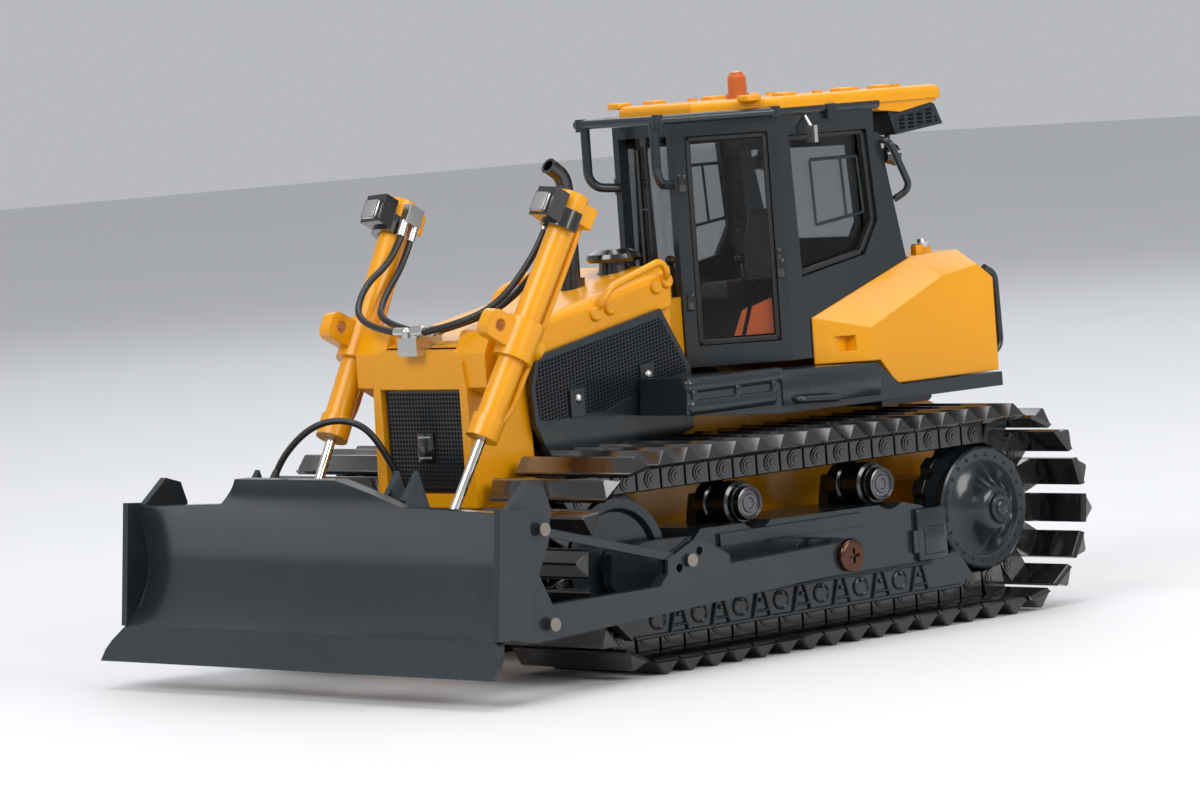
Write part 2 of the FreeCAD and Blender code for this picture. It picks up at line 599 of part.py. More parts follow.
def make_cab_roof():
    """Yellow roof cap, long enough at the back to cover the cooling unit."""
    base, top = up(70.0), up(size("roof_top"))
    plan = [(-7.2, 12.4), (7.2, 12.4), (15.6, 21.2), (15.6, 51.4), (-15.6, 51.4), (-15.6, 21.2)]
    plan = [(x * size("cab_half") / 15.2, y * ALONG) for x, y in plan]
    shape = plan_slab(plan, base, top)
    edges = [edge for edge in shape.Edges if abs(edge.CenterOfMass.z - top) < 1e-4]
    shape = shape.makeFillet(0.9, edges)
    skirt = slab(at([(38.0, 70.2), (40.0, 68.9), (44.0, 68.5), (50.8, 69.6), (51.2, 70.4)]),
                 -size("cab_half"), size("cab_half"))
    pads = [Part.makeCylinder(0.7, 0.6, V(x, y * ALONG, top - 0.2), V(0, 0, 1))
            for x in (-12.5, 12.5) for y in (24.0, 31.0, 38.0, 46.0)]
    return shape_node("cab_roof", shape.multiFuse([skirt] + pads).removeSplitter())


def make_roof_rail():
    """Frame of bars round the cab's top edge, with two guard bars down in front of the windshield."""
    wide, low = size("cab_half") + 0.2, up(69.9)
    front = 5.7 * ALONG
    narrow = 7.7
    bar = size("bar_diameter") + 0.3
    ring = [V(-narrow, front, low), V(narrow, front, low)]
    pieces = [rod_between(ring[0] - V(0.8, 0, 0), ring[1] + V(0.8, 0, 0), bar / 2)]
    for side in (1, -1):
        corner = V(side * narrow, front, low)
        knee = V(side * (wide - 0.3), 20.4 * ALONG, low)
        tail = V(side * (wide - 0.3), 39.6 * ALONG, low)
        pieces.append(rod_between(corner, knee, bar / 2))
        pieces.append(Part.makeCylinder(0.7, 1.5, knee + V(0, 0, -0.75), V(0, 0, 1)))
        pieces.append(rod_between(knee, tail, bar / 2))
        pieces.append(Part.makeCylinder(0.75, 1.7, corner + V(0, 0, -0.95), V(0, 0, 1)))
        drop = V(side * 6.9, front, up(61.4))
        foot = V(side * 5.2, 9.9 * ALONG, up(61.0))
        path = [V(side * 6.9, front, up(70.0)), drop, foot]
        pieces.append(tube(path, bar))
        lug = box(min(side * 14.4, side * 16.0), max(side * 14.4, side * 16.0), 29.4 * ALONG, 31.0 * ALONG,
                  up(68.4), up(70.4))
        pieces.append(lug)
    deck = plan_slab(cab_plan(0.3), up(size("cab_top")), up(70.0))
    cab = plan_slab(cab_plan(0), up(size("cab_floor")), up(size("cab_top")))
    return shape_node("roof_rail", deck.multiFuse(pieces).cut([cab, made("cab_roof")]))


def make_beacon():
    body = new_body("beacon")
    top = up(size("roof_top"))
    peak = size("total_height")
    revolve(body, "XZ_Plane", "V_Axis", [(0, top), (1.6, top), (1.6, top + 0.7), (1.35, top + 0.8),
                                         (1.3, peak - 0.9), (0.85, peak - 0.2), (0, peak)])
    place(body, None, "%f" % (28.0 * ALONG), None)
    return body


def make_ac_unit():
    """Cooling unit under the roof's rear, with louvres on its sides."""
    body = new_body("ac_unit")
    outline = at([(43.4, 65.4), (52.6, 66.4), (51.2, 69.2), (50.4, 69.5), (44.0, 68.4), (42.2, 68.6)])
    pad(body, "YZ_Plane", "-sizes.cab_half + 0.6", "2 * sizes.cab_half - 1.2", [outline])
    return body


def make_pair(label, shape):
    return shape_node(label, Part.makeCompound([shape, shape.mirror(V(0, 0, 0), V(1, 0, 0))]))


def make_mirrors():
    """A small mirror on a stalk at each upper door corner."""
    wide = size("cab_half")
    stalk = rod_between(V(wide + 0.2, 25.6 * ALONG, up(68.9)), V(wide + 1.7, 25.2 * ALONG, up(67.4)), 0.35)
    glass = box(wide + 1.0, wide + 2.6, 24.9 * ALONG, 25.5 * ALONG, up(65.4), up(67.7))
    return make_pair("mirrors", stalk.fuse(glass))


def make_rear_lamps():
    wide = size("cab_half")
    shell = Part.makeCone(1.6, 1.0, 2.0, V(wide - 2.6, 44.6 * ALONG, up(62.6)), V(0, -1, 0))
    arm = rod_between(V(wide - 2.6, 43.4 * ALONG, up(63.4)), V(wide - 2.6, 43.8 * ALONG, up(66.0)), 0.4)
    return make_pair("rear_lamps", shell.fuse(arm).cut(made("ac_unit")))


def make_wipers():
    """Wiper arm and blade on the windshield."""
    arm = rod_between(V(0.8, 9.45 * ALONG, up(66.6)), V(0.8, 9.45 * ALONG, up(52.0)), 0.2)
    blade = box(-0.9, -0.4, 9.2 * ALONG, 9.65 * ALONG, up(50.0), up(66.0))
    link = rod_between(V(0.8, 9.45 * ALONG, up(58.0)), V(-0.7, 9.45 * ALONG, up(58.0)), 0.2)
    hub = Part.makeCylinder(0.6, 0.6, V(0.8, 9.7 * ALONG - 0.6, up(67.0)), V(0, 1, 0))
    return shape_node("wipers", arm.fuse([blade, link, hub]))


def make_seat():
    body = new_body("seat")
    profile = at([(20.8, 44.4), (20.8, 46.6), (21.8, 47.4), (28.6, 46.6), (31.0, 56.6), (32.6, 56.9),
                  (33.4, 56.0), (31.6, 44.4)])
    pad(body, "YZ_Plane", "-3.4", "6.8", [profile])
    post = at([(24.0, 37.9), (30.0, 37.9), (30.0, 44.6), (24.0, 44.6)])
    pad(body, "YZ_Plane", "-2.2", "4.4", [post])
    return body


def make_console():
    """Arm pods with short levers on both sides of the seat, joined at the floor."""
    pieces = [box(-8.4, 8.4, 16.4 * ALONG, 20.2 * ALONG, up(37.9), up(39.2))]
    for side in (1, -1):
        low, high = min(side * 5.4, side * 8.4), max(side * 5.4, side * 8.4)
        pieces.append(box(low, high, 18.4 * ALONG, 28.0 * ALONG, up(37.9), up(47.4)))
        foot = V(side * 6.9, 20.4 * ALONG, up(47.0))
        knob = V(side * 6.9, 19.8 * ALONG, up(50.4))
        pieces.append(rod_between(foot, knob, 0.4))
        pieces.append(Part.makeSphere(0.75, knob))
    return shape_node("control_console", pieces[0].multiFuse(pieces[1:]))


def make_grab_handles():
    """Bent grab bars at the cab's rear posts, the tank's rear corners and the platform edges."""
    wide = size("cab_half")
    tank = size("tank_half")
    edge = size("platform_half")
    bars = []
    sets = [
        [(wide - 0.6, 39.8, 65.0), (wide + 1.3, 40.2, 64.6), (wide + 1.3, 43.6, 58.0), (wide - 0.6, 42.2, 56.6)],
        [(tank - 1.4, 54.6, 46.2), (tank - 1.4, 56.6, 45.2), (tank - 1.4, 56.9, 35.2), (tank - 1.4, 54.6, 34.0)],
        [(edge, 14.6, 31.6), (edge + 1.3, 14.6, 31.6), (edge + 1.3, 21.6, 31.2), (edge, 21.6, 31.2)],
    ]
    for points in sets:
        for side in (1, -1):
            path = [V(side * x, y * ALONG, up(z)) for x, y, z in points]
            bars.append(tube(path, size("bar_diameter")).cut([made("cab_shell"), made("rear_tank")]))
    return shape_node("grab_handles", Part.makeCompound(bars))


# ---------------------------------------------------------------- tank and platforms
def make_rear_tank():
    """Tank housing wrapped round the cab's rear, with sloping shoulders and a deep rear step."""
    wide, inner = size("tank_half"), size("cab_half") + 0.15
    at_cab = at([(24.2, 35.5), (24.2, 41.8), (43.6, 48.6), (52.8, 48.9), (55.2, 46.4), (55.2, 32.0),
                 (35.0, 32.0), (31.0, 35.4)])
    at_edge = at([(30.6, 35.4), (30.9, 39.9), (44.9, 45.7), (52.0, 46.8), (54.8, 44.8), (54.8, 32.0),
                  (35.0, 32.0), (32.2, 35.4)])
    left = []
    for x, points in ((inner, at_cab), (wide, at_edge)):
        left.append(Part.makePolygon([V(x, y, z) for y, z in points + points[:1]]))
    block = Part.makeLoft(left, True, True)
    other = block.mirror(V(0, 0, 0), V(1, 0, 0))
    middle = slab(at([(43.5, 32.0), (55.2, 32.0), (55.2, 46.4), (52.8, 48.9), (43.5, 48.6)]), -inner, inner)
    recess = box(wide - 3.0, wide + 1, 26.0 * ALONG, 29.0 * ALONG, up(37.0), up(39.0))
    lugs = [box(x - 0.5, x + 0.5, 46.6 * ALONG, 48.0 * ALONG, up(48.4), up(50.0)) for x in (13.2, -13.2)]
    neck = Part.makeCylinder(1.3, 1.2, V(11.4, 50.0 * ALONG, up(48.4)), V(0, 0, 1))
    shape = block.multiFuse([other, middle, neck] + lugs).cut(recess)
    return shape_node("rear_tank", shape.removeSplitter())


def make_filler_cap():
    body = new_body("filler_cap")
    base = up(49.6)
    revolve(body, "XZ_Plane", "V_Axis", [(0, base), (1.35, base), (1.35, base + 0.5), (0.7, base + 0.6),
                                         (0.5, base + 1.1), (0, base + 1.1)])
    place(body, "11.4", "%f" % (50.0 * ALONG), None)
    return body


def make_platform(label, side):
    """Slate platform over the track: cab sill, pipe-like front roll and a lower rear plate."""
    body = new_body(label)
    inner = "sizes.hood_half + 1.7"
    main = at([(-4.9, 31.4), (-4.4, 36.2), (30.4, 35.2), (34.8, 31.8), (54.4, 31.8), (54.4, 29.9),
               (33.0, 29.9), (12.4, 30.0), (-1.0, 31.0)])
    side_slab(body, side, inner, "sizes.platform_half - sizes.hood_half - 1.7", [main])
    plate = at([(33.0, 29.0), (42.0, 29.0), (42.6, 29.5), (42.0, 30.1), (33.0, 30.1)])
    side_slab(body, side, inner, "7.0", [plate])
    return body


# ---------------------------------------------------------------- blade and its linkage
ARM_PIN = (-45.4, 9.3)
BRACE_PINS = ((-46.0, 21.2), (-20.1, 14.4))
ARM_HOLES = ((-21.9, 13.6), BRACE_PINS[1], (-18.3, 15.4))


def blade_arc():
    """Centre and radius of the moldboard's front face in side view."""
    (x1, y1), (x2, y2), (x3, y3) = [(-54.6 * ALONG, 8.2), (-50.4 * ALONG, 15.6), (-52.1 * ALONG, 24.2)]
    d = 2 * (x1 * (y2 - y3) + x2 * (y3 - y1) + x3 * (y1 - y2))
    a, b, c = x1 ** 2 + y1 ** 2, x2 ** 2 + y2 ** 2, x3 ** 2 + y3 ** 2
    centre_x = (a * (y2 - y3) + b * (y3 - y1) + c * (y1 - y2)) / d
    centre_y = (a * (x3 - x2) + b * (x1 - x3) + c * (x2 - x1)) / d
    return (centre_x, centre_y), math.hypot(x1 - centre_x, y1 - centre_y)


def blade_y(z, depth=0.0):
    """Where the moldboard's face is at height z, depth behind it."""
    (cy, cz), radius = blade_arc()
    return cy + math.sqrt((radius + depth) ** 2 - (z - cz) ** 2)


def make_blade():
    """Curved moldboard with a raised centre, end plates, end brackets and lift brackets."""
    half = size("blade_width") / 2 - size("end_plate_thickness")
    thick = size("moldboard_thickness")
    lower, upper = 8.2, 28.1
    middle = (lower + upper) / 2
    front = Part.Arc(V(-half, blade_y(lower), lower), V(-half, blade_y(middle), middle),
                     V(-half, blade_y(upper), upper)).toShape()
    back = Part.Arc(V(-half, blade_y(upper, thick), upper), V(-half, blade_y(middle, thick), middle),
                    V(-half, blade_y(lower, thick), lower)).toShape()
    top_end = Part.LineSegment(V(-half, blade_y(upper), upper), V(-half, blade_y(upper, thick), upper))
    low_end = Part.LineSegment(V(-half, blade_y(lower, thick), lower), V(-half, blade_y(lower), lower))
    section = Part.Face(Part.Wire([front, top_end.toShape(), back, low_end.toShape()]))
    board = section.extrude(V(2 * half, 0, 0))
    centre, shoulder, wing = 10.2, 18.4, 24.35
    for side in (1, -1):
        points = [V(side * centre, -70, upper + 1), V(side * centre, -70, upper),
                  V(side * shoulder, -70, wing), V(side * (half + 1), -70, wing - 0.6),
                  V(side * (half + 1), -70, upper + 1)]
        cutter = Part.Face(Part.makePolygon(points + points[:1])).extrude(V(0, 40, 0))
        board = board.cut(cutter)
    shapes = []
    end_outline = [(-54.8 * ALONG, 8.2), (-53.0 * ALONG, 24.4), (-48.4 * ALONG, 24.0), (-48.2 * ALONG, 17.0),
                   (-49.6 * ALONG, 7.6), (-52.6 * ALONG, 8.2)]
    bracket = [(-51.0 * ALONG, 24.0), (-47.2 * ALONG, 27.2), (-44.8 * ALONG, 26.4), (-43.9 * ALONG, 23.6),
               (-44.6 * ALONG, 19.6), (-46.6 * ALONG, 15.6), (-44.6 * ALONG, 11.4), (-43.9 * ALONG, 9.2),
               (-44.8 * ALONG, 7.6), (-47.6 * ALONG, 7.2), (-51.0 * ALONG, 7.8), (-49.6 * ALONG, 16.0)]
    lift = [(-49.6 * ALONG, 10.5), (-44.2 * ALONG, 11.4), (-43.8 * ALONG, 14.8), (-46.0 * ALONG, 24.0),
            (-47.4 * ALONG, 28.4), (-50.0 * ALONG, 25.0), (-48.6 * ALONG, 17.0)]
    rib = [(-49.2 * ALONG, 20.4), (-47.2 * ALONG, 20.4), (-47.2 * ALONG, 23.0), (-50.2 * ALONG, 23.6)]
    foot = [(-49.4 * ALONG, 11.2), (-47.6 * ALONG, 11.2), (-47.6 * ALONG, 14.2), (-48.9 * ALONG, 14.2)]
    arm_out = size("arm_inner") + size("arm_thickness")
    eye_x = size("swing_x") - math.tan(math.radians(size("splay"))) * size("pin_reach")
    for side in (1, -1):
        for outline, x1, x2 in ((end_outline, half, half + size("end_plate_thickness")),
                                (bracket, arm_out + 0.1, half + 0.1),
                                (lift, eye_x - 2.0, eye_x - 1.1), (lift, eye_x + 1.8, eye_x + 2.7)):
            piece = slab(outline, x1, x2)
            shapes.append(piece if side > 0 else piece.mirror(V(0, 0, 0), V(1, 0, 0)))
    shapes.append(slab(rib, -half, half))
    shapes.append(slab(foot, -half, half))
    solid = board.multiFuse(shapes)
    for y, z in (ARM_PIN, BRACE_PINS[0]):
        for x in (half, -half):
            solid = solid.cut(Part.makeCylinder(0.55, 6, V(x - 3, y * ALONG, z), V(1, 0, 0)))
    (arc_y, arc_z), arc_radius = blade_arc()
    front_trim = x_cylinder(arc_radius, -half, half, arc_y, arc_z)
    solid = solid.cut(front_trim)
    y, z = lift_pin()
    for x in (eye_x, -eye_x):
        solid = solid.cut(Part.makeCylinder(0.55, 8, V(x - 4, y, z), V(1, 0, 0)))
    return shape_node("blade", solid.removeSplitter())


def lift_pin():
    """Side-view place of the pin that each lift rod's eye hangs on."""
    lean = math.radians(size("lean"))
    reach = size("pin_reach") * math.cos(math.radians(size("splay")))
    return size("swing_y") - math.sin(lean) * reach, size("swing_z") - math.cos(lean) * reach


def make_cutting_edge():
    """Replaceable edge strip with flared end bits."""
    half = size("edge_width") / 2
    inner = size("blade_width") / 2 - size("end_plate_thickness")
    tip = -size("length") / 2
    outline = [(tip, 3.8), (tip + 0.35, 3.75), (-53.3 * ALONG, 8.2), (-54.6 * ALONG, 8.2)]
    strip = slab(outline, -half, half)
    for side in (1, -1):
        points = [V(side * (inner + 0.3), -70, 8.4), V(side * (half - 0.6), -70, 6.4),
                  V(side * (half + 0.4), -70, 4.4), V(side * (half + 1), -70, 9),
                  V(side * (inner + 0.3), -70, 9)]
        strip = strip.cut(Part.Face(Part.makePolygon(points + points[:1])).extrude(V(0, 40, 0)))
    return shape_node("cutting_edge", strip)


def make_push_arm(label, side):
    """Push arm from the blade's lower pin to the pivot on the track frame, with the brace bracket."""
    body = new_body(label)
    outline = [(-47.0, 8.3), (-46.6, 10.9), (-44.8, 11.5), (-25.4, 11.6), (-24.0, 13.0), (-23.8, 14.8),
               (-19.0, 16.9), (-17.2, 16.5), (-13.2, 14.4), (-13.0, 13.2), (6.2, 13.6), (9.6, 13.9),
               (10.4, 12.4), (10.0, 10.4), (7.0, 9.7), (-44.6, 7.1)]
    outline = [(y * ALONG, z) for y, z in outline]
    side_slab(body, side, "sizes.arm_inner", "sizes.arm_thickness", [outline])
    slot = [(y * ALONG, z) for y, z in ((-24.7, 13.0), (-24.7, 18.0), (-17.4, 18.0), (-17.4, 13.0))]
    side_cut(body, side, "sizes.arm_inner + 0.5", "sizes.arm_thickness - 1.0", [slot])
    y, z = size("trunnion_y") * ALONG, size("trunnion_z")
    side_cut(body, side, "sizes.arm_inner - 1", "sizes.arm_thickness + 2", [],
             [(y, z, size("trunnion_radius") + size("running_gap"))])
    holes = [(ARM_PIN[0] * ALONG, ARM_PIN[1], 0.55)]
    holes += [(hy * ALONG, hz, 0.55) for hy, hz in ARM_HOLES]
    side_cut(body, side, "sizes.arm_inner - 1", "sizes.arm_thickness + 2", [], holes)
    return body


def make_brace(label, side):
    """Short strut from the blade's upper pin down to the push arm."""
    (y1, z1), (y2, z2) = [(y * ALONG, z) for y, z in BRACE_PINS]
    start, end = V(0, y1, z1), V(0, y2, z2)
    way = (end - start).normalize()
    up = V(0, -way.z, way.y) * 0.55
    corners = [start + up, end + up, end - up, start - up]
    x1 = size("arm_inner") + 0.55
    x2 = x1 + size("arm_thickness") - 1.1
    bar = slab([(p.y, p.z) for p in corners], x1, x2)
    eyes = [Part.makeCylinder(1.0, x2 - x1, V(x1, p.y, p.z), V(1, 0, 0)) for p in (start, end)]
    shape = bar.fuse(eyes)
    for p in (start, end):
        shape = shape.cut(Part.makeCylinder(0.55, 10, V(x1 - 3, p.y, p.z), V(1, 0, 0)))
    if side < 0:
        shape = shape.mirror(V(0, 0, 0), V(1, 0, 0))
    return shape_node(label, shape)


def make_blade_pins():
    """Pins through the blade brackets, the arms and the braces, both sides alike."""
    pins = []
    arm = size("arm_inner")
    out = size("blade_width") / 2
    eye_x = size("swing_x") - math.tan(math.radians(size("splay"))) * size("pin_reach")
    y, z = lift_pin()
    pins.append(Part.makeCylinder(0.5, 5.1, V(eye_x - 2.2, y, z), V(1, 0, 0)))
    for (y, z), x1, x2 in ((ARM_PIN, arm, out - 0.2), (BRACE_PINS[0], arm + 0.5, out - 0.2),
                           (BRACE_PINS[1], arm - 0.3, arm + size("arm_thickness") + 0.3)):
        pin = Part.makeCylinder(0.5, x2 - x1, V(x1, y * ALONG, z), V(1, 0, 0))
        head = Part.makeCylinder(0.85, 0.35, V(x2, y * ALONG, z), V(1, 0, 0))
        pins.append(pin.fuse(head))
    mirrored = [pin.mirror(V(0, 0, 0), V(1, 0, 0)) for pin in pins]
    return shape_node("blade_pins", Part.makeCompound(pins + mirrored))


def cylinder_frame(shape, side):
    """Turns a cylinder piece, made along +Z about its swing pivot, to its place on the machine."""
    shape.rotate(V(0, 0, 0), V(0, 1, 0), size("splay"))
    shape.rotate(V(0, 0, 0), V(1, 0, 0), -size("lean"))
    shape.translate(V(size("swing_x"), size("swing_y"), size("swing_z")))
    if side < 0:
        shape = shape.mirror(V(0, 0, 0), V(1, 0, 0))
    return shape


def make_barrel(label, side):
    """Lift-cylinder barrel with its head, clamp collar, side lug, boss and side pipe."""
    radius = size("barrel_radius")
    above, below = size("barrel_above"), size("barrel_below")
    barrel = Part.makeCylinder(radius, above + below, V(0, 0, -below), V(0, 0, 1))
    gland = Part.makeCylinder(radius + 0.35, 3.0, V(0, 0, -below), V(0, 0, 1))
    head = Part.makeCylinder(radius + 0.2, 3.2, V(0, 0, above - 3.0), V(0, 0, 1))
    block = box(-1.5, 1.5, -0.5, radius + 1.6, above - 3.2, above - 0.4)
    collar = Part.makeCylinder(radius + 0.8, 5.4, V(0, 0, -2.6), V(0, 0, 1))
    lug = box(-1.0, 1.0, -6.4, -1.0, -1.6, 2.2)
    lug_edges = [edge for edge in lug.Edges
                 if abs(edge.CenterOfMass.y + 6.4) < 1e-4 and abs(edge.Length - 2) < 1e-4]
    lug = lug.makeFillet(1.2, lug_edges)
    boss = Part.makeCylinder(1.5, 2.6, V(0, 0.8, 0.2), V(0, 1, 0))
    beside = radius + 0.8
    pipe = tube([V(0, beside, above - 2.6), V(0.3, beside, above - 8.0), V(0.3, beside, -below + 5.0),
                 V(0, radius - 0.4, -below + 1.8)], 0.9)
    shape = barrel.multiFuse([gland, head, block, collar, lug, boss, pipe])
    bore = Part.makeCylinder(size("rod_radius") + size("running_gap"), below + 6.0, V(0, 0, -below - 0.1))
    lug_hole = Part.makeCylinder(0.8, 6, V(-3, -4.4, 0.4), V(1, 0, 0))
    shape = shape.cut([bore, lug_hole])
    shape = cylinder_frame(shape, 1)
    x = size("swing_x")
    socket = x_cylinder(1.1 + size("running_gap"), x - 4.0, x - 1.6, size("swing_y"), size("swing_z"))
    shape = shape.cut(socket).removeSplitter()
    if side < 0:
        shape = shape.mirror(V(0, 0, 0), V(1, 0, 0))
    return shape_node(label, shape)


def make_rod(label, side):
    """Chromed lift rod with the eye that hangs on the blade's pin."""
    reach = size("pin_reach")
    rod = Part.makeCylinder(size("rod_radius"), reach - 7.6, V(0, 0, -reach), V(0, 0, 1))
    shape = cylinder_frame(rod, 1)
    y, z = lift_pin()
    x = size("swing_x") - math.tan(math.radians(size("splay"))) * reach * math.cos(math.radians(size("splay")))
    eye = Part.makeCylinder(1.3, 1.4, V(x - 0.7, y, z), V(1, 0, 0))
    hole = Part.makeCylinder(0.85, 4, V(x - 2, y, z), V(1, 0, 0))
    shape = shape.fuse(eye).cut(hole)
    if side < 0:
        shape = shape.mirror(V(0, 0, 0), V(1, 0, 0))
    return shape_node(label, shape)


def make_lamp(label, side):
    """Work lamp clipped to the front of a barrel's head."""
    above = size("barrel_above")
    radius = size("barrel_radius")
    shell = box(-1.9, 1.9, -radius - 2.6, -radius - 0.3, above - 4.6, above - 0.6)
    clip = Part.makeCylinder(radius + 1.1, 2.6, V(0, 0, above - 5.0), V(0, 0, 1))
    clip = clip.cut(Part.makeCylinder(radius + 0.22, 3, V(0, 0, above - 5.1)))
    clip = clip.common(box(-radius, radius + 1.2, -radius - 1.2, 0.2, 0, 60))
    lens = box(-1.3, 1.3, -radius - 3.2, -radius - 2.4, above - 4.2, above - 1.6)
    return shape_node(label, cylinder_frame(shell.fuse([clip, lens]), side))


def make_port(label, side):
    """Silver port block with two elbows on a barrel's head, where the hoses start."""
    above = size("barrel_above")
    radius = size("barrel_radius")
    block = box(-radius - 1.4, -radius - 0.05, -1.0, 1.6, above - 3.2, above - 0.6)
    head = Part.makeCylinder(radius + 0.2, 10, V(0, 0, above - 8), V(0, 0, 1))
    elbows = [Part.makeCylinder(0.62, 2.2, V(-radius - 0.7, y, above - 5.2), V(0, 0, 1)) for y in (-0.6, 1.2)]
    return shape_node(label, cylinder_frame(block.fuse(elbows).cut(head), side))


def to_machine(point, side):
    marker = cylinder_frame(Part.Vertex(point).copy(), 1)
    x, y, z = marker.Point
    return V(side * x, y, z)


HOSE_MIDDLES = {
    ("left", 0): [(12.2, -28.2, 48.0), (8.6, -32.6, 45.8)],
    ("left", 1): [(11.6, -26.4, 47.8), (8.0, -29.8, 46.0)],
    ("right", 0): [(-13.6, -29.6, 50.8), (-10.8, -33.6, 46.0)],
    ("right", 1): [(-12.6, -27.2, 48.8), (-9.4, -30.6, 46.2)],
}


def hose_points(name, side, index):
    above = size("barrel_above")
    beside = -size("barrel_radius") - 0.7
    start = to_machine(V(beside, (-0.6, 1.2)[index], above - 5.25), side)
    below = to_machine(V(beside, (-0.6, 1.2)[index], above - 8.6), side)
    end = V(side * 2.95, (-33.2, -30.4)[index] * ALONG, up(45.0))
    middles = [V(x, y * ALONG, up(z)) for x, y, z in HOSE_MIDDLES[(name, index)]]
    return [start, below] + middles + [end]


def make_hoses():
    for name, side in SIDES:
        for index in (0, 1):
            label = "lift_hose_%s_%s" % (name, ("front", "rear")[index])
            shape_node(label, tube(hose_points(name, side, index), size("hose_diameter"), label))
    line = [(-17.4, -45.6, 20.6), (-17.2, -45.0, 27.0), (-11.8, -41.8, 33.9), (-6.0, -38.2, 34.2),
            (-3.2, -36.0, 29.5), (-3.0, -33.2, 23.4)]
    points = [V(x, y * ALONG, up(z)) for x, y, z in line]
    shape_node("blade_hose", tube(points, size("hose_diameter"), "blade_hose"))


# ---------------------------------------------------------------- build everything
make_hull()
make_nose()
make_hood()
make_front_grille()
make_handrails()
make_exhaust()
make_precleaner()
make_hose_block()
make_cab_shell()
make_cab_glazing()
make_cab_roof()
make_roof_rail()
make_beacon()
make_ac_unit()
make_mirrors()
make_rear_lamps()
make_wipers()
make_seat()
make_console()
make_rear_tank()
make_grab_handles()
make_filler_cap()
make_trunnion_screws()
make_blade()
make_cutting_edge()
make_blade_pins()
make_hoses()
for name, side in SIDES:
    make_side_panel("side_panel_" + name, side)
    make_platform("platform_" + name, side)
    make_track_frame("track_frame_" + name, side)
    make_track("track_" + name, side)
    make_sprocket("sprocket_" + name, side)
    make_idler("idler_" + name, side)
    make_carrier("carrier_roller_front_" + name, side, CARRIER_YS[0])
    make_carrier("carrier_roller_rear_" + name, side, CARRIER_YS[1])
    make_push_arm("push_arm_" + name, side)
    make_brace("brace_" + name, side)
    make_barrel("lift_barrel_" + name, side)
    make_rod("lift_rod_" + name, side)
    make_lamp("work_lamp_" + name, side)
    make_port("port_block_" + name, side)
doc.recompute()

# ---------------------------------------------------------------- check and write
nodes = [o for o in doc.Objects if o.TypeId in ("PartDesign::Body", "Part::Feature")]
for item in doc.Objects:
    if "Invalid" in item.State or "Error" in item.State:
        raise ValueError("%s did not compute" % item.Label)
os.makedirs("parts", exist_ok=True)
for node in nodes:
    if node.Shape.isNull() or not node.Shape.isValid() or not node.Shape.Solids:
        raise ValueError("%s has no valid solid" % node.Label)
    node.Shape.exportStep("parts/%s.step" % node.Label)
    bounds = node.Shape.BoundBox
    print("%-28s solids %2d volume %8.2f  x %6.1f %6.1f  y %6.1f %6.1f  z %5.1f %5.1f" % (
        node.Label, len(node.Shape.Solids), node.Shape.Volume, bounds.XMin, bounds.XMax,
        bounds.YMin, bounds.YMax, bounds.ZMin, bounds.ZMax))
print("%d nodes" % len(nodes))
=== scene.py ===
import json
import math

import bpy
from mathutils import Matrix, Vector


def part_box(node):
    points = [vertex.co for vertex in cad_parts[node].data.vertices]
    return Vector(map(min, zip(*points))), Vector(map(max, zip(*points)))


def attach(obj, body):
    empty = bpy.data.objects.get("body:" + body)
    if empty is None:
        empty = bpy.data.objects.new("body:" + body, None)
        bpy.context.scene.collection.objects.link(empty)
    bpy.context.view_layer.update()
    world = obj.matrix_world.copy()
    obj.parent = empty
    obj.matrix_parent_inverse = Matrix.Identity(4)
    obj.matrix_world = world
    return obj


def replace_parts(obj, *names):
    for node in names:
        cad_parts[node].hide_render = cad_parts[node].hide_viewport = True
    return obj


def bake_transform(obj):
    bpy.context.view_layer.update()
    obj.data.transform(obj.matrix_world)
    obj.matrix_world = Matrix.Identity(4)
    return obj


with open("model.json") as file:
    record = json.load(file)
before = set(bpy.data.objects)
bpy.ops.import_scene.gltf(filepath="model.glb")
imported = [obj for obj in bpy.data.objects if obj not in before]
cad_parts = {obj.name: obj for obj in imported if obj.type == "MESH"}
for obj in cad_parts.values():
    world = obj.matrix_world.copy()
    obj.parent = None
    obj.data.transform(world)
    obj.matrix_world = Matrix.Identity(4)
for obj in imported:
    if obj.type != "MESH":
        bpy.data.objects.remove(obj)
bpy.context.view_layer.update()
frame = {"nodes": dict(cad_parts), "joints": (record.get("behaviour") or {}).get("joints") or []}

# The studio. A wide pale sheet under the model, lit from four soft boxes, with
# the camera low and off the machine's front left corner.
scene = bpy.context.scene
camera_data = bpy.data.cameras.new("camera")
camera_data.sensor_width = 36
camera_data.lens = 165.09
camera_data.clip_start = 0.01
camera_data.clip_end = 20
camera = bpy.data.objects.new("camera", camera_data)
camera.location = (0.55068, -0.48924, 0.07749)
camera.rotation_euler = [math.radians(turn) for turn in (86.547, 4.159, 48.201)]
scene.collection.objects.link(camera)
scene.camera = camera


def soft_box(name, place, aim, width, height, power, colour):
    data = bpy.data.lights.new(name, "AREA")
    data.shape = "RECTANGLE"
    data.size = width
    data.size_y = height
    data.energy = power
    data.color = colour
    lamp = bpy.data.objects.new(name, data)
    scene.collection.objects.link(lamp)
    lamp.location = place
    lamp.rotation_mode = "QUATERNION"
    lamp.rotation_quaternion = (Vector(aim) - Vector(place)).to_track_quat("-Z", "Y")


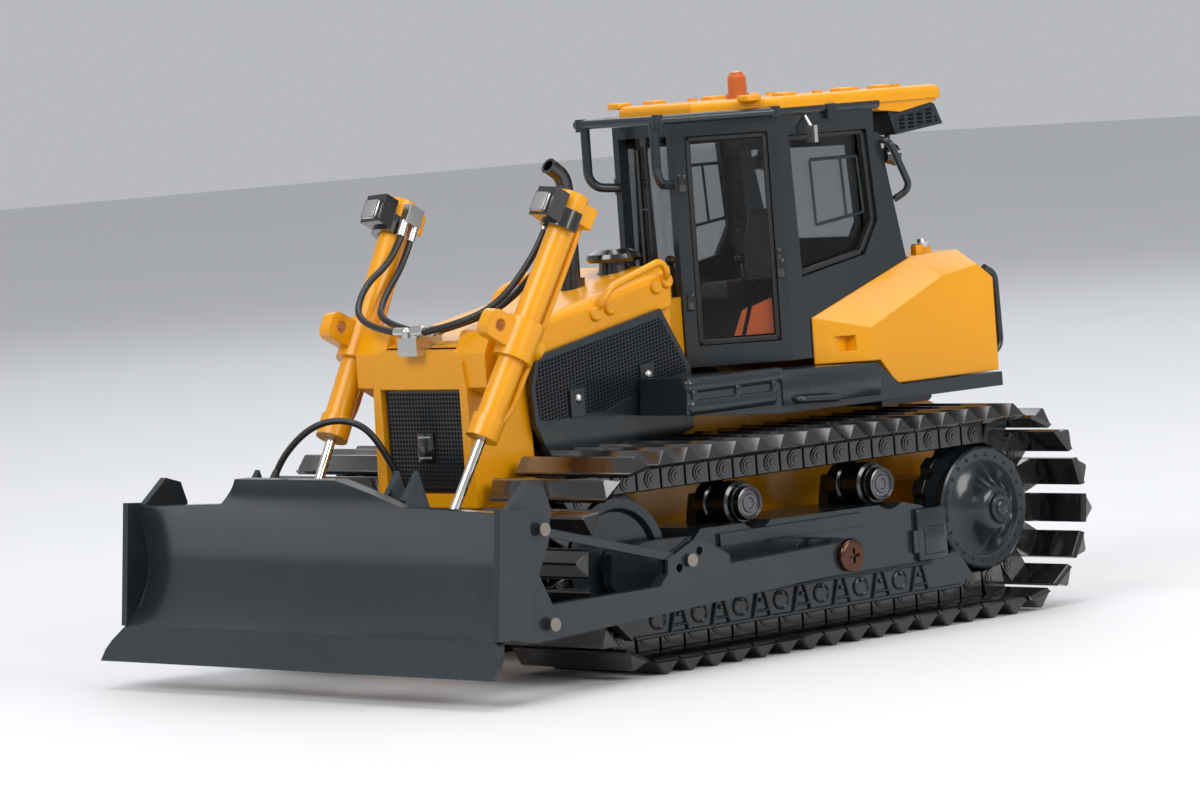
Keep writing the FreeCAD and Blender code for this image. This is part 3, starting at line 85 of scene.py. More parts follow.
soft_box("key_box", (0.10, -0.62, 0.52), (0, 0, 0.03), 0.5, 0.3, 2.9, (1, 0.98, 0.95))
soft_box("side_box", (0.75, 0.10, 0.42), (0, 0, 0.03), 0.5, 0.35, 3.3, (1, 0.99, 0.97))
soft_box("top_box", (0.0, 0.10, 0.75), (0, 0, 0), 0.6, 0.5, 2.6, (0.97, 0.98, 1))
soft_box("rear_box", (-0.50, 0.60, 0.60), (0, 0, 0.04), 0.9, 0.6, 1.6, (0.95, 0.97, 1))

world = bpy.data.worlds.new("studio")
scene.world = world
world.use_nodes = True
room_light = world.node_tree.nodes["Background"]
room_light.inputs["Color"].default_value = (0.80, 0.82, 0.85, 1)
room_light.inputs["Strength"].default_value = 0.6
scene.view_settings.view_transform = "Standard"


def blank_material(name):
    """A material with a Principled shader, its node tree and its object coordinates."""
    material = bpy.data.materials.new(name)
    material.use_nodes = True
    tree = material.node_tree
    shader = tree.nodes["Principled BSDF"]
    place = tree.nodes.new("ShaderNodeTexCoord")
    return material, tree, shader, place.outputs["Object"]


def noise(tree, place, scale, detail=3.0):
    node = tree.nodes.new("ShaderNodeTexNoise")
    node.inputs["Scale"].default_value = scale
    node.inputs["Detail"].default_value = detail
    tree.links.new(place, node.inputs["Vector"])
    return node.outputs["Fac"]


def ramp(tree, value, low, high, start=0.3, end=0.7):
    """The value between start and end turned into one between low and high."""
    node = tree.nodes.new("ShaderNodeMapRange")
    for name, number in (("From Min", start), ("From Max", end), ("To Min", low), ("To Max", high)):
        node.inputs[name].default_value = number
    tree.links.new(value, node.inputs["Value"])
    return node.outputs["Result"]


def mix_colour(tree, factor, first, second):
    """Each colour is an RGB triple or a socket."""
    node = tree.nodes.new("ShaderNodeMix")
    node.data_type = "RGBA"
    tree.links.new(factor, node.inputs["Factor"])
    for colour, socket in ((first, node.inputs[6]), (second, node.inputs[7])):
        if isinstance(colour, tuple):
            socket.default_value = (*colour, 1)
        else:
            tree.links.new(colour, socket)
    return node.outputs[2]


pale_sheet, sheet_tree, sheet_shader, sheet_place = blank_material("pale_sheet")
clouding = noise(sheet_tree, sheet_place, 9.0)
sheet_colour = mix_colour(sheet_tree, clouding, (0.70, 0.71, 0.72), (0.76, 0.76, 0.77))
sheet_tree.links.new(sheet_colour, sheet_shader.inputs["Base Color"])
sheet_shader.inputs["Roughness"].default_value = 0.6
bpy.ops.object.select_all(action="DESELECT")
bpy.ops.mesh.primitive_plane_add(size=6, location=(0, 0, 0))
floor = bpy.context.object
floor.name = "table_top"
floor.data.materials.append(pale_sheet)

# The yellow castings. The body, roof, tank and lift barrels are sprayed with gloss
# enamel, which shows a faint orange-peel surface, soft moulded edges and a little dust.
MM = 0.001
DUST_COLOUR = (0.45, 0.43, 0.40)


def surface_group():
    """Shared paint surface: slow colour drift, fine dust specks, roughness and peel height."""
    group = bpy.data.node_groups.new("sprayed_surface", "ShaderNodeTree")
    sockets = (("Place", "INPUT", "NodeSocketVector"), ("Coat", "INPUT", "NodeSocketColor"),
               ("Drift", "INPUT", "NodeSocketColor"), ("Dust", "INPUT", "NodeSocketFloat"),
               ("Rough Low", "INPUT", "NodeSocketFloat"), ("Rough High", "INPUT", "NodeSocketFloat"),
               ("Color", "OUTPUT", "NodeSocketColor"), ("Roughness", "OUTPUT", "NodeSocketFloat"),
               ("Height", "OUTPUT", "NodeSocketFloat"))
    for name, way, kind in sockets:
        group.interface.new_socket(name, in_out=way, socket_type=kind)
    start = group.nodes.new("NodeGroupInput")
    end = group.nodes.new("NodeGroupOutput")
    spot = start.outputs["Place"]
    drift = ramp(group, noise(group, spot, 60.0, 4.0), 0.0, 1.0)
    colour = mix_colour(group, drift, start.outputs["Coat"], start.outputs["Drift"])
    specks = ramp(group, noise(group, spot, 2600.0, 1.0), 0.0, 1.0, 0.70, 0.78)
    amount = group.nodes.new("ShaderNodeMath")
    amount.operation = "MULTIPLY"
    group.links.new(specks, amount.inputs[0])
    group.links.new(start.outputs["Dust"], amount.inputs[1])
    dusty = mix_colour(group, amount.outputs[0], colour, DUST_COLOUR)
    group.links.new(dusty, end.inputs["Color"])
    blend = group.nodes.new("ShaderNodeMix")
    group.links.new(ramp(group, noise(group, spot, 140.0, 5.0), 0.0, 1.0), blend.inputs[0])
    group.links.new(start.outputs["Rough Low"], blend.inputs[2])
    group.links.new(start.outputs["Rough High"], blend.inputs[3])
    group.links.new(blend.outputs[0], end.inputs["Roughness"])
    group.links.new(noise(group, spot, 900.0, 2.0), end.inputs["Height"])
    return group


sprayed = surface_group()


def painted(name, coat, drift, dust, rough, peel, edge, coat_weight, specular=0.5):
    """Enamel on a casting. edge is the radius of its moulded edges in millimetres."""
    material, tree, shader, place = blank_material(name)
    surface = tree.nodes.new("ShaderNodeGroup")
    surface.node_tree = sprayed
    tree.links.new(place, surface.inputs["Place"])
    surface.inputs["Coat"].default_value = (*coat, 1)
    surface.inputs["Drift"].default_value = (*drift, 1)
    surface.inputs["Dust"].default_value = dust
    surface.inputs["Rough Low"].default_value = rough[0]
    surface.inputs["Rough High"].default_value = rough[1]
    tree.links.new(surface.outputs["Color"], shader.inputs["Base Color"])
    tree.links.new(surface.outputs["Roughness"], shader.inputs["Roughness"])
    round_edge = tree.nodes.new("ShaderNodeBevel")
    round_edge.samples = 4
    round_edge.inputs["Radius"].default_value = edge * MM
    bump = tree.nodes.new("ShaderNodeBump")
    bump.inputs["Strength"].default_value = peel
    bump.inputs["Distance"].default_value = 0.05 * MM
    tree.links.new(surface.outputs["Height"], bump.inputs["Height"])
    tree.links.new(round_edge.outputs["Normal"], bump.inputs["Normal"])
    tree.links.new(bump.outputs["Normal"], shader.inputs["Normal"])
    shader.inputs["Coat Weight"].default_value = coat_weight
    shader.inputs["Coat Roughness"].default_value = 0.12
    shader.inputs["Specular IOR Level"].default_value = specular
    return material


def finish_nodes(material, names):
    """Gives the CAD's pieces their finish."""
    for name in names:
        mesh = frame["nodes"][name].data
        mesh.materials.clear()
        mesh.materials.append(material)


def both(*names):
    return [name + side for name in names for side in ("_left", "_right")]


yellow = painted("yellow_enamel", coat=(0.81, 0.34, 0.001), drift=(0.75, 0.305, 0.001), dust=0.05,
                 rough=(0.22, 0.32), peel=0.10, edge=0.3, coat_weight=0.25, specular=0.35)
finish_nodes(yellow, ["nose", "hood", "hull", "cab_roof", "rear_tank", "hood_handrails"])
finish_nodes(yellow, both("lift_barrel"))

# The slate castings. The cab's frame, its bars, the platforms, the track frames and
# the blade with its arms are sprayed with a dark blue-grey gloss enamel.
slate = painted("slate_enamel", coat=(0.017, 0.023, 0.028), drift=(0.013, 0.018, 0.022), dust=0.08,
                rough=(0.18, 0.28), peel=0.12, edge=0.2, coat_weight=0.4, specular=0.35)
finish_nodes(slate, ["cab_shell", "roof_rail", "ac_unit", "grab_handles", "blade", "cutting_edge"])
finish_nodes(slate, both("side_panel", "platform", "track_frame", "idler", "push_arm", "brace"))

# The black mouldings. Small fittings, the cab's consoles, the lamps, the grille and
# the return rollers are moulded in glossy black plastic and pressed into the castings.
black = painted("black_gloss", coat=(0.005, 0.005, 0.006), drift=(0.008, 0.008, 0.009), dust=0.08,
                rough=(0.12, 0.22), peel=0.10, edge=0.12, coat_weight=0.8)
finish_nodes(black, ["precleaner", "exhaust_stack", "wipers", "rear_lamps", "control_console",
                     "front_grille"])
finish_nodes(black, both("work_lamp", "carrier_roller_front", "carrier_roller_rear"))

# The bright fittings. The filler cap, the mirrors, the hose block and the barrels'
# port blocks are plated, with faint turning marks.


def metal(name, colour, rough):
    """Bare or plated metal, slightly darker in patches."""
    darker = tuple(part * 0.86 for part in colour)
    material = painted(name, coat=colour, drift=darker, dust=0.02, rough=rough, peel=0.05, edge=0.08,
                       coat_weight=0.0)
    material.node_tree.nodes["Principled BSDF"].inputs["Metallic"].default_value = 1
    return material


silver = metal("silver_fittings", (0.66, 0.66, 0.65), (0.24, 0.36))
finish_nodes(silver, ["filler_cap", "mirrors", "hose_block"] + both("port_block"))

# The screws, pins and rods. The push arms turn on two browned cross-head screws, the
# blade hangs on nickelled pins, and the lift rods are polished.
bronze = metal("bronze_screw", (0.13, 0.065, 0.045), (0.18, 0.3))
finish_nodes(bronze, ["trunnion_screws"])
nickel = metal("nickel_pins", (0.30, 0.27, 0.23), (0.25, 0.38))
finish_nodes(nickel, ["blade_pins"])
chrome = metal("polished_rod", (0.80, 0.77, 0.72), (0.08, 0.14))
finish_nodes(chrome, both("lift_rod"))

# The beacon. A half-clear amber moulding that stands in the middle of the roof and
# is pressed into it.
amber = painted("amber_lens", coat=(0.85, 0.22, 0.01), drift=(0.70, 0.16, 0.008), dust=0.0,
                rough=(0.08, 0.14), peel=0.05, edge=0.1, coat_weight=0.6)
amber.node_tree.nodes["Principled BSDF"].inputs["Transmission Weight"].default_value = 0.5
finish_nodes(amber, ["beacon"])

# The cab's glazing. One clear moulding with all the panes, pushed into the cab's
# shell from inside.
clear = painted("clear_glazing", coat=(0.62, 0.64, 0.65), drift=(0.60, 0.62, 0.63), dust=0.0,
                rough=(0.02, 0.04), peel=0.02, edge=0.02, coat_weight=0.0)
clear.node_tree.nodes["Principled BSDF"].inputs["Transmission Weight"].default_value = 1
clear.node_tree.nodes["Principled BSDF"].inputs["IOR"].default_value = 1.3
finish_nodes(clear, ["cab_glazing"])

# The crawler tracks. Each is moulded in black plastic: forty-six wide shoes with
# a triangular cleat, bolted to link blocks that turn on pins with round bosses.
joints = {joint["name"]: joint for joint in frame["joints"]}
REAR = Vector(joints["sprocket_spin_left"]["pos_m"]) / MM
FRONT = Vector(joints["idler_spin_left"]["pos_m"]) / MM
track_low, track_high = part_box("track_left")
SHOES = 46
CLEAT = 4.04
PIN_LINE = (track_high.z - track_low.z) / 2 / MM - CLEAT
PITCH = (2 * (REAR.y - FRONT.y) + 2 * math.pi * PIN_LINE) / SHOES
HALF_SHOE = PITCH * 0.46
SHOE_FOOT = 1.85
SHOE_TOP = 2.4
SHOE_IN = track_low.x / MM
SHOE_OUT = track_high.x / MM
SHOE_INSET = 0.55
PLATE_FLARE = 1.045
CLEAT_ROOT = 0.80
CLEAT_TIP = 0.13
CLEAT_TAPER = 0.955
CHAIN = (SHOE_OUT + SHOE_IN) / 2
LINK_IN = 1.35
LINK_OUT = 2.9
LINK_FOOT = -1.6
LINK_TOP = 1.92
PIN_RADIUS = 0.7
BOSS_STEPS = ((0, 0.18, 1.25), (0.18, 0.3, 0.95), (0.1, 0.42, 0.5))
BOSS_PLACE = (0.35, -0.15)


def nothing_selected():
    bpy.ops.object.select_all(action="DESELECT")


def apply_place():
    bpy.ops.object.transform_apply(location=True, rotation=True, scale=True)


def box_primitive(x1, x2, size, y, z, turn=0.0):
    """A plain cube primitive, its middle at (y, z) of the side view, turned in that view."""
    nothing_selected()
    bpy.ops.mesh.primitive_cube_add(size=MM, location=((x1 + x2) / 2 * MM, y * MM, z * MM),
                                    rotation=(turn, 0, 0), scale=(abs(x2 - x1), *size))
    apply_place()
    return bpy.context.object


def bevel_all(edge, steps):
    bpy.ops.object.mode_set(mode="EDIT")
    bpy.ops.mesh.select_all(action="SELECT")
    bpy.ops.mesh.bevel(offset=edge * MM, segments=steps, affect="EDGES")
    bpy.ops.object.mode_set(mode="OBJECT")


def block(x1, x2, y1, y2, z1, z2, edge=0.0, steps=2):
    """A block between two corners, in millimetres, with rounded edges."""
    piece = box_primitive(x1, x2, (abs(y2 - y1), abs(z2 - z1)), (y1 + y2) / 2, (z1 + z2) / 2)
    if edge:
        bevel_all(edge, steps)
    return piece


def turned(steps, y, z, sides=48):
    """A piece turned about a sideways axis. Each step is (x, radius), in millimetres."""
    nothing_selected()
    x, radius = steps[0]
    bpy.ops.mesh.primitive_circle_add(vertices=sides, radius=radius * MM, fill_type="NGON",
                                      location=(x * MM, y * MM, z * MM), rotation=(0, math.pi / 2, 0))
    apply_place()
    bpy.ops.object.mode_set(mode="EDIT")
    bpy.ops.mesh.select_all(action="SELECT")
    for (x1, r1), (x2, r2) in zip(steps, steps[1:]):
        bpy.ops.mesh.extrude_region_move(TRANSFORM_OT_translate={"value": ((x2 - x1) * MM, 0, 0)})
        bpy.ops.transform.resize(value=(1, r2 / r1, r2 / r1), center_override=(x2 * MM, y * MM, z * MM))
    bpy.ops.object.mode_set(mode="OBJECT")
    return bpy.context.object


def joined(parts):
    """Several objects made one."""
    nothing_selected()
    for part in parts:
        part.select_set(True)
    bpy.context.view_layer.objects.active = parts[0]
    bpy.ops.object.join()
    return bpy.context.object


def alone(piece):
    """Selects one object and nothing else."""
    nothing_selected()
    piece.select_set(True)
    bpy.context.view_layer.objects.active = piece


def faces_outwards():
    bpy.ops.object.mode_set(mode="EDIT")
    bpy.ops.mesh.select_all(action="SELECT")
    bpy.ops.mesh.normals_make_consistent(inside=False)
    bpy.ops.object.mode_set(mode="OBJECT")


def settled(parts, name, material, body, angle=35):
    """Joins the parts, turns their faces outwards, and fixes the piece to its body."""
    piece = joined(parts)
    piece.name = name
    piece.data.name = name
    faces_outwards()
    bpy.ops.object.shade_smooth_by_angle(angle=math.radians(angle))
    piece.data.materials.clear()
    piece.data.materials.append(material)
    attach(piece, body)
    return piece


def mirrored(piece, name, body):
    """The same piece for the machine's right side."""
    other = piece.copy()
    other.data = piece.data.copy()
    other.data.transform(Matrix.Scale(-1, 4, (1, 0, 0)))
    other.parent = None
    scene.collection.objects.link(other)
    other.name = name
    other.data.name = name
    alone(other)
    faces_outwards()
    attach(other, body)
    return other


def repeated(piece, places):
    """Copies of a piece, each with its own mesh, put at the places, and the first one removed."""
    copies = []
    for place in places:
        copy = piece.copy()
        copy.data = piece.data.copy()
        copy.data.transform(place)
        scene.collection.objects.link(copy)
        copies.append(copy)
    bpy.data.objects.remove(piece)
    return copies


def on_track(distance):
    """Place and turn of the pin line that far along from the rear end of the ground run."""
    straight = REAR.y - FRONT.y
    arc = math.pi * PIN_LINE
    if distance < straight:
        y, z, turn = REAR.y - distance, REAR.z - PIN_LINE, math.pi
    elif distance < straight + arc:
        turn = math.pi - (distance - straight) / PIN_LINE
        y, z = FRONT.y - PIN_LINE * math.sin(turn), FRONT.z + PIN_LINE * math.cos(turn)
    elif distance < 2 * straight + arc:
        y, z, turn = FRONT.y + distance - straight - arc, REAR.z + PIN_LINE, 0.0
    else:
        turn = -(distance - 2 * straight - arc) / PIN_LINE
        y, z = REAR.y - PIN_LINE * math.sin(turn), REAR.z + PIN_LINE * math.cos(turn)
    return Matrix.Translation((0, y * MM, z * MM)) @ Matrix.Rotation(turn, 4, "X")


def cleated_shoe():
    """A shoe's plate, a little wider at its top, with the cleat drawn up from it."""
    shoe = block(SHOE_IN + SHOE_INSET, SHOE_OUT - SHOE_INSET, -HALF_SHOE, HALF_SHOE, SHOE_FOOT, SHOE_TOP)
    bpy.ops.object.mode_set(mode="EDIT")
    bpy.ops.mesh.select_mode(type="FACE")
    bpy.ops.mesh.select_all(action="DESELECT")
    bpy.ops.object.mode_set(mode="OBJECT")
    for face in shoe.data.polygons:
        face.select = face.normal.z > 0.9
    middle = (CHAIN * MM, 0, 0)
    bpy.ops.object.mode_set(mode="EDIT")
    bpy.ops.transform.resize(value=(PLATE_FLARE, 1, 1), center_override=middle)
    bpy.ops.mesh.extrude_region_move(TRANSFORM_OT_translate={"value": (0, 0, 0)})
    bpy.ops.transform.resize(value=(1, CLEAT_ROOT, 1), center_override=(0, 0, 0))
    bpy.ops.mesh.extrude_region_move(TRANSFORM_OT_translate={"value": (0, 0, (CLEAT - SHOE_TOP) * MM)})
    bpy.ops.transform.resize(value=(CLEAT_TAPER, CLEAT_TIP, 1), center_override=middle)
    bpy.ops.object.mode_set(mode="OBJECT")
    bevel_all(0.06, 1)
    return shoe


link_parts = [cleated_shoe()]
for sign in (-1, 1):
    near = CHAIN + sign * LINK_IN
    far = CHAIN + sign * LINK_OUT
    link_parts.append(block(near, far, -HALF_SHOE, HALF_SHOE, LINK_FOOT, LINK_TOP, 0.16, 1))
    for start, end, radius in BOSS_STEPS:
        inner = far + sign * start
        outer = far + sign * end
        boss = [(inner, radius), (outer, radius), (outer, radius * 0.86)]
        link_parts.append(turned(boss, *BOSS_PLACE, 14))
pin = [(CHAIN - LINK_IN - 0.05, PIN_RADIUS), (CHAIN + LINK_IN + 0.05, PIN_RADIUS)]
link_parts.append(turned(pin, PITCH / 2, 0, 10))
link_places = [on_track((index + 0.5) * PITCH) for index in range(SHOES)]
links = repeated(joined(link_parts), link_places)
track = settled(links, "track_of_links_left", black, "chassis", 30)
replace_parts(track, "track_left")
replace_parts(mirrored(track, "track_of_links_right", "chassis"), "track_right")

# The drive sprockets. A flat toothed ring carries a shallow domed disc with a row of
# rivets, and the hub cap in its middle is turned with rings. All in slate enamel.
DISC_FACE = CHAIN + 2.95
GULLETS = 15
GULLET_CIRCLE = 9.55
GULLET_RADIUS = 1.15
RIVETS = 24
RIVET_CIRCLE = 7.15
ring_steps = [(-2.6, 4.4), (-1.0, 5.5), (-1.0, 9.05), (0.9, 9.05), (1.0, 8.9)]
disc_steps = [(0.2, 8.2), (0.5, 8.35), (1.1, 8.3), (1.3, 8.0), (1.2, 7.75), (1.15, 6.45), (0.9, 6.3),
              (0.95, 6.1), (1.35, 5.2), (1.9, 4.4), (2.7, 3.75)]
cap_steps = [(3.5, 3.3), (4.0, 2.7), (4.1, 2.25), (4.0, 2.15), (4.05, 2.05), (4.6, 1.95), (4.75, 1.75),
             (4.6, 1.6), (4.55, 1.15), (4.8, 1.05), (4.95, 0.8), (4.98, 0.1)]


def beyond(face, steps):
    """A turned profile whose steps are measured outwards from a face."""
    return [(face + out, radius) for out, radius in steps]


def round_axle(count, radius, offset=0.0):
    """Places on a circle about the sprocket's axle, as (y, z)."""
    turns = [(index + offset) * 2 * math.pi / count for index in range(count)]
    return [(REAR.y + radius * math.cos(turn), REAR.z + radius * math.sin(turn)) for turn in turns]


wheel_steps = beyond(CHAIN, ring_steps) + beyond(DISC_FACE, disc_steps + cap_steps)
wheel = turned(wheel_steps, REAR.y, REAR.z, 90)
gullet_steps = [(CHAIN - 1.6, GULLET_RADIUS), (CHAIN + 1.55, GULLET_RADIUS)]
cutter = joined([turned(gullet_steps, y, z, 16) for y, z in round_axle(GULLETS, GULLET_CIRCLE)])
alone(wheel)
cut = wheel.modifiers.new("gullets", "BOOLEAN")
cut.operation = "DIFFERENCE"
cut.object = cutter
bpy.ops.object.modifier_apply(modifier="gullets")
bpy.data.objects.remove(cutter)
rivet_steps = beyond(DISC_FACE, [(1.1, 0.2), (1.32, 0.2), (1.4, 0.12)])
wheel_parts = [wheel] + [turned(rivet_steps, y, z, 8) for y, z in round_axle(RIVETS, RIVET_CIRCLE, 0.5)]
sprocket = settled(wheel_parts, "sprocket_wheel_left", slate, "sprocket_left")
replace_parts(sprocket, "sprocket_left")
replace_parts(mirrored(sprocket, "sprocket_wheel_right", "sprocket_right"), "sprocket_right")

# The return rollers' end caps. Turned rings of dull grey metal, pressed over the
# ends of the black rollers.
dark_metal = metal("dark_caps", (0.16, 0.165, 0.17), (0.22, 0.34))
roller_cap_steps = [(-1.0, 2.24), (-0.1, 2.2), (-0.02, 2.05), (-0.1, 1.8), (-0.35, 1.7), (-0.3, 1.25),
                    (-0.12, 1.15), (-0.12, 0.75), (-0.3, 0.65), (-0.28, 0.1)]
for which in ("front", "rear"):
    axle = Vector(joints["carrier_%s_spin_left" % which]["pos_m"]) / MM
    roller_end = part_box("carrier_roller_%s_left" % which)[1].x / MM
    rings = [turned(beyond(roller_end, roller_cap_steps), axle.y, axle.z, 40)]
    body = "carrier_%s_left" % which
    cap = settled(rings, "roller_cap_%s_left" % which, dark_metal, body)
    mirrored(cap, "roller_cap_%s_right" % which, "carrier_%s_right" % which)

# The roller guards. A cast rail along the foot of each track frame, with braced
# feet, cupped pads between them, small bolt heads, and the step box over its rear
# end, all in slate enamel.
GUARD_FACE = 29.0
FOOT_LOW = 4.55
FOOT_HIGH = 8.1
FIRST_FOOT = -16.2
FOOT_SPACING = 7.3
FEET = 7
GUARD_FRONT = -24.0
GUARD_REAR = 35.4
BRACE_REAR = 30.4


def bar(y1, z1, y2, z2, x1, x2, width):
    """A straight flat bar between two points of the side view, in millimetres."""
    size = (math.hypot(y2 - y1, z2 - z1), width)
    turn = math.atan2(z2 - z1, y2 - y1)
    piece = box_primitive(x1, x2, size, (y1 + y2) / 2, (z1 + z2) / 2, turn)
    bevel_all(0.12, 1)
    return piece


def on_guard(y1, z1, y2, z2, depth, width):
    """A rib cast on the guard's outer face."""
    return bar(y1, z1, y2, z2, GUARD_FACE - 0.1, GUARD_FACE + depth, width)


bolt_steps = [(-0.1, 0.3), (0.35, 0.3), (0.42, 0.2)]
pad_steps = [(-0.1, 1.35), (0.25, 1.3), (0.35, 1.15), (0.1, 0.95), (0.1, 0.5)]
stud_steps = [(0, 0.32), (0.5, 0.32), (0.58, 0.2)]
guard_parts = [on_guard(GUARD_FRONT, FOOT_LOW, GUARD_REAR, FOOT_LOW, 0.4, 0.5),
               on_guard(GUARD_FRONT, FOOT_HIGH, BRACE_REAR, FOOT_HIGH + 0.1, 0.25, 0.35)]
for index in range(FEET):
    y = FIRST_FOOT + FOOT_SPACING * index
    for side in (-1, 1):
        guard_parts.append(on_guard(y + side * 1.6, FOOT_LOW, y + side * 0.6, FOOT_HIGH, 0.45, 0.4))
    guard_parts.append(on_guard(y - 1.3, FOOT_LOW + 1.0, y + 1.3, FOOT_LOW + 1.0, 0.3, 0.35))
    guard_parts.append(turned(beyond(GUARD_FACE, bolt_steps), y, FOOT_HIGH - 1.2, 8))
    between = y - FOOT_SPACING / 2
    guard_parts.append(turned(beyond(GUARD_FACE, pad_steps), between, FOOT_HIGH - 1.55, 18))
    guard_parts.append(turned(beyond(GUARD_FACE, stud_steps), between, FOOT_HIGH - 0.6, 8))
step_box = block(GUARD_FACE - 0.5, GUARD_FACE + 0.3, 27.8, 33.3, 8.6, 15.6, 0.25)
step_plate = block(GUARD_FACE + 0.1, GUARD_FACE + 0.5, 28.9, 32.6, 9.4, 13.1, 0.15)
guard = settled(guard_parts + [step_box, step_plate], "roller_guard_left", slate, "chassis")
mirrored(guard, "roller_guard_right", "chassis")

# The engine doors' screens. Sheet metal with rows of square holes that follow the
# hood's slope, set in the slate doors. The holes are a pattern in the finish, and
# their near-black colour is painted shade.
HOOD_SLOPE = 0.196
DOOR_FACE = 11.0
DOOR_HOLES = (0.58, 0.5)
PAINTED_HOLE_SHADE = (0.0008, 0.0008, 0.0008)


def hole_group():
    """One inside a square hole and nought on the web. Across and Up count the holes along their way."""
    group = bpy.data.node_groups.new("punched_grid", "ShaderNodeTree")
    for name in ("Place", "Across", "Up"):
        group.interface.new_socket(name, in_out="INPUT", socket_type="NodeSocketVector")
    group.interface.new_socket("Hole", in_out="OUTPUT", socket_type="NodeSocketFloat")
    start = group.nodes.new("NodeGroupInput")
    end = group.nodes.new("NodeGroupOutput")
    nearest = group.nodes.new("ShaderNodeMath")
    nearest.operation = "MINIMUM"
    for index, name in enumerate(("Across", "Up")):
        along = group.nodes.new("ShaderNodeVectorMath")
        along.operation = "DOT_PRODUCT"
        group.links.new(start.outputs["Place"], along.inputs[0])
        group.links.new(start.outputs[name], along.inputs[1])
        wave = group.nodes.new("ShaderNodeMath")
        wave.operation = "PINGPONG"
        wave.inputs[1].default_value = 0.5
        group.links.new(along.outputs["Value"], wave.inputs[0])
        group.links.new(wave.outputs[0], nearest.inputs[index])
    group.links.new(ramp(group, nearest.outputs[0], 0.0, 1.0, 0.14, 0.20), end.inputs["Hole"])
    return group


holes = hole_group()


def punched(name, across, up):
    """Slate sheet with square holes, coloured near-black inside as painted shade. across and up are
    holes per millimetre along X, Y and Z.
    """
    material = painted(name, coat=(0.020, 0.026, 0.032), drift=(0.016, 0.0208, 0.0256), dust=0.1,
                       rough=(0.25, 0.36), peel=0.1, edge=0.03, coat_weight=0.5, specular=0.2)
    tree = material.node_tree
    shader = tree.nodes["Principled BSDF"]
    grid = tree.nodes.new("ShaderNodeGroup")
    grid.node_tree = holes
    grid.inputs["Across"].default_value = [value / MM for value in across]
    grid.inputs["Up"].default_value = [value / MM for value in up]
    hole = grid.outputs["Hole"]
    tree.links.new(tree.nodes["Texture Coordinate"].outputs["Object"], grid.inputs["Place"])
    coat = shader.inputs["Base Color"].links[0].from_socket
    # The near-black colour in the holes is painted shade: the dark depth of each hole is drawn as
    # colour.
    tree.links.new(mix_colour(tree, hole, coat, PAINTED_HOLE_SHADE), shader.inputs["Base Color"])
    tree.links.new(ramp(tree, hole, 0.3, 0.9, 0.0, 1.0), shader.inputs["Roughness"])
    tree.links.new(ramp(tree, hole, 0.4, 0.0, 0.0, 1.0), shader.inputs["Coat Weight"])
    sink = tree.nodes.new("ShaderNodeBump")
    sink.invert = True
    sink.inputs["Strength"].default_value = 0.8
    sink.inputs["Distance"].default_value = 0.12 * MM
    tree.links.new(hole, sink.inputs["Height"])
    tree.links.new(shader.inputs["Normal"].links[0].from_socket, sink.inputs["Normal"])
    tree.links.new(sink.outputs["Normal"], shader.inputs["Normal"])
    return material


def plate(x1, x2, outline, edge=0.0):
    """A flat plate with a convex outline of (y, z) points, anticlockwise, in millimetres."""
    across = [y for y, z in outline]
    up = [z for y, z in outline]
    piece = block(x1, x2, min(across) - 1, max(across) + 1, min(up) - 1, max(up) + 1)
    bpy.ops.object.mode_set(mode="EDIT")
    for (y1, z1), (y2, z2) in zip(outline, outline[1:] + outline[:1]):
        corner = (0, y1 * MM, z1 * MM)
        outwards = Vector((0, z2 - z1, y1 - y2)).normalized()
        bpy.ops.mesh.select_all(action="SELECT")
        bpy.ops.mesh.bisect(plane_co=corner, plane_no=outwards, use_fill=True, clear_outer=True)
    bpy.ops.object.mode_set(mode="OBJECT")
    if edge:
        bevel_all(edge, 2)
    return piece


def pair(parts, name, material, angle=35):
    """The left piece and its mirror on the right, both fixed to the chassis."""
    piece = settled(parts, name + "_left", material, "chassis", angle)
    mirrored(piece, name + "_right", "chassis")


along, upwards = DOOR_HOLES
door_mesh = punched("door_screen", (0, 1 / along, 0), (0, -HOOD_SLOPE / upwards, 1 / upwards))
door_outline = [(-21.6, 32.2), (4.6, 32.2), (4.6, 37.2), (0.7, 43.9), (-21.0, 39.9), (-22.0, 36.6)]
door_plate = plate(DOOR_FACE - 0.02, DOOR_FACE + 0.05, door_outline)
pair([door_plate], "door_screen", door_mesh, 30)

# The radiator's screen. The same punched sheet, with the same painted shade in its
# holes, set in the grille's opening at the front of the nose.
GRILLE_HALF = 7.5
GRILLE_HOLES = (0.62, 0.56)
grille_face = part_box("front_grille")[0].y / MM + 0.34
grille_mesh = punched("grille_screen", (1 / GRILLE_HOLES[0], 0, 0), (0, 0, 1 / GRILLE_HOLES[1]))
grille_plate = block(-GRILLE_HALF, GRILLE_HALF, grille_face - 0.06, grille_face + 0.02, 24.2, 37.0)
settled([grille_plate], "grille_screen", grille_mesh, "chassis", 30)

# The badge on the grille. A plain black tablet with two bright bars and nothing
# written on it, pressed on to the screen.
BADGE_HALF = 1.65
BAR_HALF = 1.2
badge_face = grille_face - 0.4
badge = block(-BADGE_HALF, BADGE_HALF, badge_face, grille_face - 0.05, 27.9, 31.7, 0.15)
settled([badge], "badge_plate", black, "chassis")
badge_bars = [block(-BAR_HALF, BAR_HALF, badge_face - 0.06, badge_face + 0.02, low, low + 0.3, 0.03)
              for low in (31.0, 28.3)]
settled(badge_bars, "badge_rim", silver, "chassis")

# The engine doors' latch buttons. Two silver domes on each door, pressed into its
# latch tabs.
button_steps = beyond(DOOR_FACE, [(0.3, 0.62), (0.5, 0.6), (0.68, 0.45), (0.76, 0.2)])
buttons = [turned(button_steps, y, z, 20) for y, z in ((-15.0, 34.6), (-2.4, 36.6))]
pair(buttons, "door_buttons", silver)

